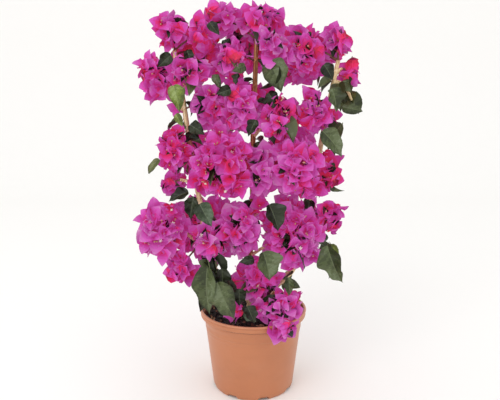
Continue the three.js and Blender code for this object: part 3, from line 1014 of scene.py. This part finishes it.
def bract_materials():
    """Papery bracts: thin dry tissue, matt, in tones from a shaded wine red over the warm heart to
    a pale lilac tip. A weak glow stands for the light that comes through the tissue."""
    c = colours()
    stops = np.array([c.wine, c.ember, c.crimson, c.rose, c.magenta, c.purple, c.lilac, c.pale])
    places = np.linspace(0, len(stops) - 1, TONES)
    tones = np.stack(
        [np.interp(places, np.arange(len(stops)), channel) for channel in stops.T], axis=-1)
    return [
        plain_material(f"papery bract {i + 1}", tone, roughness=0.7, specular=0.18, glow=0.26)
        for i, tone in enumerate(tones.tolist())]


class BUSH_OT_bracts(bpy.types.Operator):
    """Grows three papery bracts on every flower head, one mesh for each tier of the crown"""

    bl_idname = "bush.bracts"
    bl_label = "Bracts"

    def execute(self, context):
        """Bracts stand at thirds of a turn round the head's axis, closed or open by the head's
        own share; rows of faces take their tone from the heart's to the tip's."""
        plan = crown_plan()
        rng = np.random.default_rng(sizes().seed + 2)
        materials = bract_materials()
        count = len(plan["base"])
        head = np.repeat(np.arange(count), 3)
        turn = np.repeat(rng.uniform(0, TAU, count), 3) + np.tile([0, TAU / 3, 2 * TAU / 3], count)
        turn += rng.normal(0, 0.14, len(head))
        axis = unit(plan["axis"][head] + rng.normal(0, 0.08, (len(head), 3)))
        out = around(axis, turn)
        opened = np.clip(plan["open"][head] + rng.normal(0, 0.12, len(head)), 0, 1)
        sweep = np.radians(CLOSED_SWEEP + OPENED_BY * opened[:, None])
        scale = plan["scale"][head] * rng.uniform(0.88, 1.1, len(head))
        length = sizes().bract_length * scale
        width = sizes().bract_width * scale * rng.uniform(0.88, 1.12, len(head))
        cup = -rng.uniform(0.05, 0.5, len(head)) * (1.15 - 0.5 * opened)
        wave = rng.uniform(0.1, 0.3, len(head))
        phase = rng.uniform(0, TAU, len(head))
        foot = plan["base"][head] + out * 0.6 * MM
        tone = plan["tone"][head] + rng.normal(0, 0.35, len(head))
        # Each bract runs from its redder heart to paler tips and edges: the heart is partly the
        # bract's own colour and partly painted shade, the pale tips partly painted highlight.
        row = np.linspace(0, 1, len(BRACT_STEPS) - 1)[None, :, None]
        edge = np.abs(np.linspace(-1, 1, len(BRACT_COLUMNS) - 1))[None, None]
        level = tone[:, None, None] + HEART_LEVEL + TONE_RUN * row**0.7 + 0.5 * edge * row
        level = np.clip(np.rint(level + rng.normal(0, 0.25, level.shape)), 0, TONES - 1).astype(int)
        tier = np.array([tier_of(FLOWER_NODES[m]) for m in plan["mass"]])[head]
        for name in TIERS:
            own = tier == name
            shape = (
                values[own] for values in (foot, axis, out, length, width, sweep, cup, wave, phase))
            points, faces = blades(*shape, BRACT_OUTLINE, BRACT_STEPS, BRACT_COLUMNS)
            piece = make_object(
                f"bracts_{name}", points, faces[:, ::-1], materials, level[own].ravel())
            fasten(piece, [node for node in FLOWER_NODES if tier_of(node) == name])
        return {"FINISHED"}


# How many heads carry no flower, one, two and three.
FLOWER_SHARES = [0.38, 0.3, 0.2, 0.12]
OPEN_SHARE = 0.09  # How many flowers are open as stars.
ORANGE_SHARE = 0.25  # How many tubes are orange towards the mouth.
TUBE_RADII = np.array([0.8, 1.25, 1.1, 0.85, 1.05, 1.3]) * MM
STAR_RADIUS, STAR_DEPTH, STAR_TURNS = 3.6 * MM, 0.6 * MM, 20


class BUSH_OT_flowers(bpy.types.Operator):
    """Sets the small tubular flowers at the heart of the heads, some of them open as stars"""

    bl_idname = "bush.flowers"
    bl_label = "Flowers"

    def execute(self, context):
        """A flower is a tube with a swollen foot, a waist and a flared mouth; an open one ends in a
        disc whose rim swings in and out five times."""
        plan = crown_plan()
        rng = np.random.default_rng(sizes().seed + 3)
        count = len(plan["base"])
        number = rng.choice(len(FLOWER_SHARES), count, p=FLOWER_SHARES)
        head = np.repeat(np.arange(count), number)
        axis, scale = plan["axis"][head], plan["scale"][head]
        out = around(axis, rng.uniform(0, TAU, len(head)))
        length = (sizes().flower_length * scale * rng.uniform(0.7, 1.1, len(head)))[:, None]
        foot = plan["base"][head] + out * 1.2 * MM
        end = foot + unit(axis + out * rng.uniform(0.1, 0.45, (len(head), 1))) * length
        paths = bezier(foot, foot + axis * length * 0.5, end, len(TUBE_RADII))
        points, faces = tubes(paths, TUBE_RADII[None] * scale[:, None], 6)
        # Living flower tissue: waxy and soft, rosy at the foot and cream towards the mouth.
        crimson, rose, cream, white, orange = range(5)
        materials = [
            plain_material("flower tube crimson", linear("b8346a"), 0.55),
            plain_material("flower tube rose", linear("c85c80"), 0.55),
            plain_material("flower tube cream", linear("cf9f86"), 0.55),
            plain_material("flower star white", linear("f6efe2"), 0.5),
            plain_material("flower tube orange", linear("c4713f"), 0.55),
        ]
        rows = np.array([crimson, crimson, rose, rose, cream])
        kind = np.broadcast_to(rows[None, :, None], (len(head), 5, 6)).copy()
        kind[rng.random(len(head)) < ORANGE_SHARE, 3:] = orange
        caps = np.full(len(head) * 4, cream)
        opened = rng.random(len(head)) < OPEN_SHARE
        star_axis = unit(paths[opened, -1] - paths[opened, -2])
        swing = 0.62 + 0.38 * np.cos(5 * turns_of(STAR_TURNS))
        first = around(star_axis, rng.uniform(0, TAU, opened.sum()))
        ring = rings(first, np.cross(star_axis, first), STAR_TURNS)
        far = np.array([0.08, 0.45, 1.0])[None, :, None, None]
        reach = far * np.where(far > 0.5, swing[None, None, :, None], 1)
        star = ring[:, None] * reach * STAR_RADIUS * scale[opened][:, None, None, None]
        star += end[opened][:, None, None] + star_axis[:, None, None] * STAR_DEPTH * (1 - far)
        star_faces = grid_faces(opened.sum(), far.size, STAR_TURNS, closed=True)[:, ::-1]
        piece = make_object(
            "flowers", np.concatenate([points, star.reshape(-1, 3)]),
            np.concatenate([faces, star_faces + len(points)]), materials,
            np.concatenate([kind.ravel(), caps, np.full(len(star_faces), white)]))
        fasten(piece)
        return {"FINISHED"}


# The dark kind is partly painted shade, put in the depth of the crown.
KINDS = {"green": 0, "dark": 1, "blue": 2, "bright": 3, "olive": 4}
LEAF_TONES = 5  # The tones of each kind; its rib comes after them.


def leaf_materials():
    """Leaves: leathery and half glossy, with painted highlights that grey the green where the blade
    swells between its veins; the midrib is paler. Each kind has five tones and a rib: two of
    painted shade, its own green, and two of painted highlight."""
    c = colours()
    blades_of_kinds = (c.leaf_green, c.leaf_dark_and_shaded, c.leaf_blue, c.leaf_bright, c.leaf_olive)
    rib, made = np.array(c.midrib), []
    for name, blade in zip(KINDS, blades_of_kinds):
        blade = np.array(blade)
        painted_highlight_grey = np.array([0.95, 1.0, 1.05]) * blade.mean()
        # deep and shade are painted shade; light and bloom are painted highlights, greyed as by the
        # white room; blade is the leaf's own colour.
        parts = {
            "deep": 0.42 * blade, "shade": 0.68 * blade, "blade": blade,
            "light": 1.2 * blade + 0.2 * painted_highlight_grey, "bloom": 1.35 * blade + 0.5 * painted_highlight_grey,
            "rib": 0.75 * blade + 0.25 * rib}
        made += [
            plain_material(f"leaf {part} {name}", tuple(tone), roughness=0.36, specular=0.32)
            for part, tone in parts.items()]
    return made


# How many leaves of each kind there are on the sprays, in the foliage and along the leaders.
SPRAY_KINDS = [0.34, 0.26, 0.12, 0.05, 0.23]
FOLIAGE_KINDS = [0.4, 0.22, 0.14, 0.04, 0.2]
LEADER_KINDS = [0.3, 0.44, 0.12, 0.02, 0.12]
BACK_LEAVES = 2.2  # How many times as many leaves the sprays at the back carry.
INNER_LEAVES = 3  # Leaves of the darkest kind, painted shade, in the depth of each mass, for each spray.
FOLIAGE_SPACING = 30 * MM
LEADER_STEP = 14  # Points of a leader's line from one pair of leaves to the next.


@functools.cache
def leaf_plan():
    """Ordinary leaves: each spray carries a few between its hub and its heads, which reach the
    mass's surface and droop; a mass of foliage is hung all over with them, and pairs of small
    ones stand along the leaders. Gives hubs, feet, headings, lengths and kinds."""
    plan = crown_plan()
    rng = np.random.default_rng(sizes().seed + 4)
    ordinary, down, rows = sizes().leaf_length, np.array([0, 0, -1.0]), []
    for hub, mass in zip(plan["hubs"], plan["hub_mass"]):
        node = FLOWER_NODES[mass]
        core = centre_of(node)
        low, high = (np.array(corner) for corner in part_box(node))
        for _ in range(rng.poisson(sizes().leaf_share * (BACK_LEAVES if "back" in node else 1))):
            away = unit(hub - core + rng.normal(0, 12 * MM, 3))
            heading = unit(away * [1, 0.9, 0.8] + 0.55 * down + rng.normal(0, 0.4, 3))
            length = ordinary * np.clip(rng.lognormal(-0.06, 0.22), 0.55, 1.3)
            reach = 1 / np.linalg.norm(heading * 2 / (high - low))
            foot = core + heading * max(2 * MM, reach * rng.uniform(0.72, 0.98) - length)
            rows.append((hub, foot, heading, length, rng.choice(5, p=SPRAY_KINDS)))
        # The leaves in the depth are of the dark kind, as painted shade.
        for _ in range(INNER_LEAVES):
            heading = unit(rng.normal(0, 1, 3) * (high - low))
            reach = 1 / np.linalg.norm(heading * 2 / (high - low))
            length = min(ordinary * 0.75, 0.8 * reach)
            rows.append((hub, core + heading * 2 * MM, heading, length, KINDS["dark"]))
    for node in LEAF_NODES:
        core = centre_of(node)
        for point, normal in zip(*spread_points(node, FOLIAGE_SPACING, rng, np.zeros((0, 3)))):
            heading = unit(0.7 * normal + 0.75 * down + rng.normal(0, 0.25, 3))
            length = ordinary * np.clip(rng.lognormal(-0.05, 0.2), 0.6, 1.25)
            foot = point - heading * length * rng.uniform(0.85, 1.0)
            rows.append((core, foot, heading, length, rng.choice(5, p=FOLIAGE_KINDS)))
    for number, node in enumerate(LEADER_NODES):
        line = limb_lines()[node][0]
        for i in range(26, len(line) - 8, LEADER_STEP):
            side = 1 if (i // LEADER_STEP + number) % 2 else -1
            for depth in (-1, 1):
                heading = unit(np.array([0.9 * side, 0.55 * depth, -0.65]) + rng.normal(0, 0.35, 3))
                length = ordinary * rng.uniform(0.55, 0.85)
                foot = line[i] + heading * rng.uniform(3, 9) * MM
                rows.append((line[i], foot, heading, length, rng.choice(5, p=LEADER_KINDS)))
    return tuple(np.array(column) for column in zip(*rows))


# Leaves that stand out singly: node that holds the foot, the foot's place in that node's box as
# shares of its width, depth and height, length and width in mm, the way it points as degrees from
# +X in the plane of the fan, how far it leans out of that plane, its curl, and its kind. These
# leaves carry no stalks, so some stand clear of the crown when seen from the side.
SINGLE_LEAVES = (
    ("leaves_bottom_left", 0.4, 0.1, 1.0, 84, 38, -94, 4, 26, "green"),
    ("leaves_bottom_left", 0.62, -0.1, 0.76, 74, 42, -66, 4, 34, "green"),
    ("leaves_bottom_left", 0.7, 0.2, 0.95, 50, 26, -84, -6, 20, "dark"),
    ("leaves_bottom_left", 0.42, 0.3, 0.9, 52, 26, -90, -8, 20, "dark"),
    ("crown_lower_centre", 1.0, -0.15, 0.25, 52, 44, -76, 6, 30, "green"),
    ("crown_lower_centre", 0.8, 0.0, 0.1, 26, 16, -160, 8, 30, "dark"),
    ("crown_lower_right", 0.98, 0.1, 0.48, 74, 38, -70, 6, 36, "green"),
    ("crown_third_far_right", 0.64, 0.1, 0.12, 58, 32, -46, 4, 34, "green"),
    ("leaves_right_tip", -0.1, 0.0, 0.6, 42, 19, -12, 6, 60, "green"),
    ("leaves_upper_right", 0.3, 0.0, 0.95, 40, 30, -75, 6, 30, "green"),
    ("crown_right_tip", 0.3, 0.1, 0.4, 30, 22, -75, 8, 40, "green"),
    ("leaves_upper_centre", 0.24, -0.1, 0.98, 54, 42, -62, 4, 26, "green"),
    ("leaves_upper_centre", 0.2, -0.1, 0.05, 36, 26, -55, 8, 24, "dark"),
    ("crown_upper_left", 0.26, 0.0, 0.08, 44, 26, -72, 6, 30, "bright"),
    ("crown_middle_far_left", 0.93, 0.0, 0.95, 30, 22, -30, 6, 30, "dark"),
    ("crown_middle_tuft", 1.3, 0.0, 0.2, 40, 24, -160, 4, 30, "dark"),
    ("crown_middle_far_left", 0.13, 0.3, 0.28, 40, 12, -130, 2, 70, "olive"),
    ("crown_middle_left", 0.22, 0.0, 0.04, 42, 28, -62, 10, 30, "blue"),
    ("crown_middle_left", 0.12, 0.1, 0.1, 36, 22, -100, 4, 30, "dark"),
    ("crown_middle_centre", 0.75, 0.0, -0.15, 50, 38, -68, 6, 30, "dark"),
    ("crown_bottom_centre", 1.0, 0.0, 0.72, 34, 16, -85, 8, 30, "green"),
    ("crown_bottom_centre", 0.16, 0.0, 0.5, 32, 22, -88, 6, 30, "dark"),
    ("crown_bottom_centre", 0.3, -0.4, 0.28, 32, 22, -68, 10, 30, "dark"),
    ("crown_bottom_left", 1.15, -0.1, 0.62, 26, 18, -40, 6, 20, "blue"),
    ("crown_top_far_left", 0.9, 0.0, -0.12, 26, 16, -70, 8, 30, "dark"),
    ("crown_top_left", 0.8, 0.0, 0.72, 26, 16, -60, 8, 30, "dark"),
    ("crown_top_peak", 0.6, -0.1, -0.05, 26, 16, -60, 8, 30, "dark"),
    ("crown_top_right", 1.0, 0.0, 0.15, 30, 22, -55, 6, 30, "dark"),
    ("crown_third_middle", 0.98, 0.0, 0.25, 30, 18, -112, 6, 30, "dark"),
    ("crown_middle_far_left", 0.6, 0.0, 1.15, 24, 13, -55, 6, 30, "bright"),
    ("crown_third_left", 0.75, 0.4, -0.02, 26, 12, -10, 5, 30, "bright"),
    ("crown_third_left", 0.15, 0.5, 0.05, 34, 26, -110, 5, 30, "dark"),
    ("crown_third_middle", 0.25, 0.3, 0.8, 26, 18, 200, 5, 30, "dark"),
    ("crown_upper_middle", 0.0, 0.5, 0.1, 28, 14, -60, 5, 30, "green"),
    ("crown_upper_middle", 0.9, 0.3, 0.3, 24, 16, 200, 5, 20, "green"),
    ("crown_upper_middle", 0.7, 0.3, 0.12, 20, 14, -100, 5, 20, "dark"),
    ("crown_upper_left", 0.2, 0.2, 0.85, 30, 20, -140, 5, 30, "dark"),
)


MIDDLE_LEVEL = 1.7  # The tone of a leaf's face where no painted shade or painted highlight falls on it.


def between(steps):
    """The middle of each interval between steps."""
    steps = np.asarray(steps)
    return (steps[1:] + steps[:-1]) / 2


class BUSH_OT_leaves(bpy.types.Operator):
    """Hangs the ordinary leaves, and the larger single ones with raised veins"""

    bl_idname = "bush.leaves"
    bl_label = "Leaves"

    def execute(self, context):
        """Blades whose face turns up and out of the crown, bending down towards the tip; the strip
        along the middle is the midrib."""
        rng = np.random.default_rng(sizes().seed + 5)
        materials = leaf_materials()
        _, foot, heading, length, kind = leaf_plan()
        count = len(foot)
        side = np.where(foot[:, 1:2] > BACK_FROM, -1, 1)
        facing = unit(rng.normal(0, 0.35, (count, 3)) + UP * 0.75 + FRONT * 0.45 * side)
        out = unit(facing - (facing * heading).sum(axis=1, keepdims=True) * heading)
        width = length * rng.uniform(0.5, 0.66, count)
        sweep = [rng.uniform(0, 26, count), rng.uniform(-75, -10, count)]
        points, faces = blades(
            foot, heading, out, length, width, np.radians(np.stack(sweep, axis=-1)),
            rng.uniform(0.25, 1.0, count), rng.uniform(0.05, 0.2, count),
            rng.uniform(0, TAU, count), LEAF_OUTLINE, LEAF_STEPS, LEAF_COLUMNS,
            hook=rng.normal(0, 0.1, count))
        # One half of each leaf is lighter and the other darker: painted light and shade from the
        # fold.
        lit_and_shaded_halves = np.array([0.5, 0.7, 0, -0.7, -0.5]) * rng.choice([-1, 1], (count, 1, 1))
        tone = MIDDLE_LEVEL + rng.normal(0, 0.7, (count, 1, 1)) + lit_and_shaded_halves
        tone = tone + rng.normal(0, 0.4, (count, len(LEAF_STEPS) - 1, 1))
        is_rib = np.abs(between(LEAF_COLUMNS)) < 0.03
        level = self.material_numbers(kind, tone, is_rib)
        fasten(make_object("leaves", points, faces, materials, level), LEAF_NODES)

        foot, heading, out, size, curl, kind = (
            np.array(column) for column in zip(*(self.single(*leaf) for leaf in SINGLE_LEAVES)))
        count = len(foot)
        roll = rng.normal(0, 0.3, (count, 1))
        out = out * np.cos(roll) + np.cross(heading, out) * np.sin(roll)
        points, faces = blades(
            foot, heading, out, size[:, 0], size[:, 1],
            np.radians(np.stack([curl * 0.5, -curl], axis=-1)), rng.uniform(0.3, 0.7, count),
            rng.uniform(0.2, 0.42, count), rng.uniform(0, TAU, count), LARGE_OUTLINE, LARGE_STEPS,
            LARGE_COLUMNS, relief=1.1 * MM, hook=rng.normal(0, 0.1, count), waves=15.0, fold=1.3,
            uneven=0.03)
        # Painted light and shade: each swelling between the veins is lit on one side, one half is
        # lit and the other shaded as by the fold, broad bands of painted highlight wander over the
        # blade, and the margin is painted darker; the veins are paler.
        s, t = between(LARGE_STEPS)[:, None], between(LARGE_COLUMNS)
        swell_shading = np.sin(vein_run(s, t) * TAU + 0.8)
        phase = rng.uniform(0, TAU, (count, 1, 1))
        lit = rng.choice([-0.9, 0.9], (count, 1, 1)) * np.sign(t)
        painted_gloss_bands = 1.2 * np.sin(5 * s + 2 * np.abs(t) + phase)
        furrow = 0.5 * (side_veins(s, t) > 0.5)
        tone = MIDDLE_LEVEL + 0.35 * swell_shading + lit + painted_gloss_bands - 1.3 * t**6 + furrow
        tone = tone + rng.normal(0, 0.2, tone.shape)
        level = self.material_numbers(kind, tone, np.abs(t) < 0.03)
        fasten(make_object("leaves_large", points, faces, materials, level))
        return {"FINISHED"}

    @staticmethod
    def material_numbers(kind, tone, is_rib):
        """Each face's material, from its leaf's kind and its own tone; the rib has the last one."""
        tone = np.where(is_rib, LEAF_TONES, np.clip(np.rint(tone), 0, LEAF_TONES - 1))
        return ((LEAF_TONES + 1) * kind[:, None, None] + tone).ravel()

    @staticmethod
    def single(node, x, y, z, length, width, turn, lean, curl, kind):
        """One row of the table as foot, heading, face, size, curl and kind."""
        heading, facing = pointing(turn, lean), FRONT + 0.25 * UP
        out = unit(facing - (facing @ heading) * heading)
        size = np.array([length, width]) * MM
        return place_in(node, x, y, z), heading, out, size, curl, KINDS[kind]


class BUSH_OT_twigs(bpy.types.Operator):
    """Joins every head and every ordinary leaf to its limb by shoots, sprays and stalks"""

    bl_idname = "bush.twigs"
    bl_label = "Twigs"

    def execute(self, context):
        """Tapering tubes along quadratic curves: limb to core, core to hub, and hub to each head's
        or leaf's foot, which they meet along its axis."""
        plan = crown_plan()
        rng = np.random.default_rng(sizes().seed + 6)
        hub, foot, heading, _, _ = leaf_plan()
        root, core = (np.array(column) for column in zip(*plan["shoots"]))
        masses = plan["hub_mass"].tolist()
        of_mass = {mass: i for i, mass in enumerate(dict.fromkeys(masses))}
        from_core = core[[of_mass[mass] for mass in masses]]
        head_foot, leaf_foot = plan["base"] + plan["axis"] * 0.5 * MM, foot + heading * 0.6 * MM
        shoot, flower_stalk, leaf_stalk = range(3)
        # Start, end, the way it arrives, points, sides, radii as shares of a shoot's, material.
        runs = (
            (root, core, None, 12, 8, (1, 0.75), shoot),
            (from_core, plan["hubs"], None, 8, 6, (0.75, 0.5), shoot),
            (plan["hubs"][plan["hub"]], head_foot, plan["axis"], 6, 4, (0.45, 0.34), flower_stalk),
            (hub, leaf_foot, heading, 6, 4, (0.4, 0.3), leaf_stalk),
        )
        parts = []
        for start, end, arrive, steps, sides, (wide, narrow), kind in runs:
            gap = np.linalg.norm(end - start, axis=1, keepdims=True)
            if arrive is None:
                wander = rng.normal(0, 0.06, start.shape)
                control = (start + end) / 2 + UP * gap * 0.18 + wander * gap
            else:
                control = end - arrive * gap * 0.4
            radii = np.linspace(wide, narrow, steps) * sizes().twig_radius
            paths = bezier(start, control, end, steps)
            parts.append((*tubes(paths, np.broadcast_to(radii, paths.shape[:2]), sides), kind))
        # Smooth young bark: brown on shoots, red-green on flower stalks, green on leaf stalks.
        materials = [
            plain_material("shoot bark", tuple(colours().shoot), 0.7),
            plain_material("flower stalk", linear("8a5a52"), 0.65),
            plain_material("leaf stalk", linear("7d8458"), 0.6),
        ]
        vertices, faces, kinds = joined(parts)
        fasten(make_object("twigs", vertices, faces, materials, kinds))
        return {"FINISHED"}


# ---- Stage, panel and main ----


# Each area light's place, side and power in watts, and the point that they both face.
LIGHTS = {"key": ((-0.9, -1.5, 1.7), 1.1, 10), "fill": ((1.4, -1.2, 0.9), 1.2, 0.5)}
LIGHTS_AIM = (0, 0, 0.38)
# The camera stands a little above the plant's middle and looks down by 10 degrees.
EYE, EYE_TILT, LENS = (-0.0057, -0.905, 0.498), 80, 38.016


class BUSH_OT_stage(bpy.types.Operator):
    """Sets the pale floor, the soft studio light and the camera"""

    bl_idname = "bush.stage"
    bl_label = "Stage"

    def execute(self, context):
        """The floor is a level sheet that turns up far behind along a quarter of a circle. The
        world is an even white, and two area lights give form."""
        bend = arc((1.9, 0.9), 0.9, -90, 0, 24)
        section = np.concatenate([straights((-3.5, 0, 12), (1.9, 0)), bend, [(2.8, 3.2)]])
        width = np.linspace(-4.5, 4.5, 13)
        along, height = section[:, :1], section[:, 1:]
        points = np.stack(np.broadcast_arrays(width[None], along, height), axis=-1)
        paper = plain_material("matt white paper", linear("fbfaf8"), 0.9, specular=0.1)
        faces = grid_faces(1, len(section), len(width))
        make_object("backdrop", points, faces, [paper])
        world = bpy.data.worlds.new("studio")
        world.use_nodes = True
        background = next(n for n in world.node_tree.nodes if n.type == "BACKGROUND")
        background.inputs["Color"].default_value = (1, 1, 1, 1)
        background.inputs["Strength"].default_value = 1.0
        context.scene.world = world
        for name, (place, size, watts) in LIGHTS.items():
            data = bpy.data.lights.new(name, "AREA")
            data.size, data.energy = size, watts
            light = bpy.data.objects.new(name, data)
            light.location = place
            aim = Vector(LIGHTS_AIM) - light.location
            light.rotation_euler = aim.to_track_quat("-Z", "Y").to_euler()
            context.scene.collection.objects.link(light)
        lens = bpy.data.cameras.new("camera")
        lens.lens, lens.sensor_width = LENS, 36
        camera = bpy.data.objects.new("camera", lens)
        camera.location, camera.rotation_euler = EYE, (math.radians(EYE_TILT), 0, 0)
        context.scene.collection.objects.link(camera)
        context.scene.camera = camera
        context.scene.view_settings.view_transform = "Standard"
        return {"FINISHED"}


PIECE_OPERATORS = (
    BUSH_OT_pot, BUSH_OT_soil, BUSH_OT_stems, BUSH_OT_bracts, BUSH_OT_flowers, BUSH_OT_leaves,
    BUSH_OT_twigs, BUSH_OT_stage)


class BUSH_PT_panel(bpy.types.Panel):
    """Lists the sizes, the colours and the steps"""

    bl_label = "Bougainvillea"
    bl_idname = "BUSH_PT_panel"
    bl_space_type = "VIEW_3D"
    bl_region_type = "UI"
    bl_category = "Bougainvillea"

    def draw(self, context):
        """Draws every property, then a button for every operator."""
        for settings in (context.scene.bush_sizes, context.scene.bush_colours):
            for name in settings.__annotations__:
                self.layout.prop(settings, name)
        for operator in PIECE_OPERATORS:
            self.layout.operator(operator.bl_idname)


CLASSES = (BushSizes, BushColours, *PIECE_OPERATORS, BUSH_PT_panel)


def register():
    """Registers the classes and the scene's settings."""
    for item in CLASSES:
        bpy.utils.register_class(item)
    bpy.types.Scene.bush_sizes = PointerProperty(type=BushSizes)
    bpy.types.Scene.bush_colours = PointerProperty(type=BushColours)


def unregister():
    """Undoes register."""
    del bpy.types.Scene.bush_colours
    del bpy.types.Scene.bush_sizes
    for item in reversed(CLASSES):
        bpy.utils.unregister_class(item)


def main():
    """Builds the plant step by step."""
    register()
    for operator in PIECE_OPERATORS:
        group, name = operator.bl_idname.split(".")
        getattr(getattr(bpy.ops, group), name)()


if __name__ == "__main__":
    main()
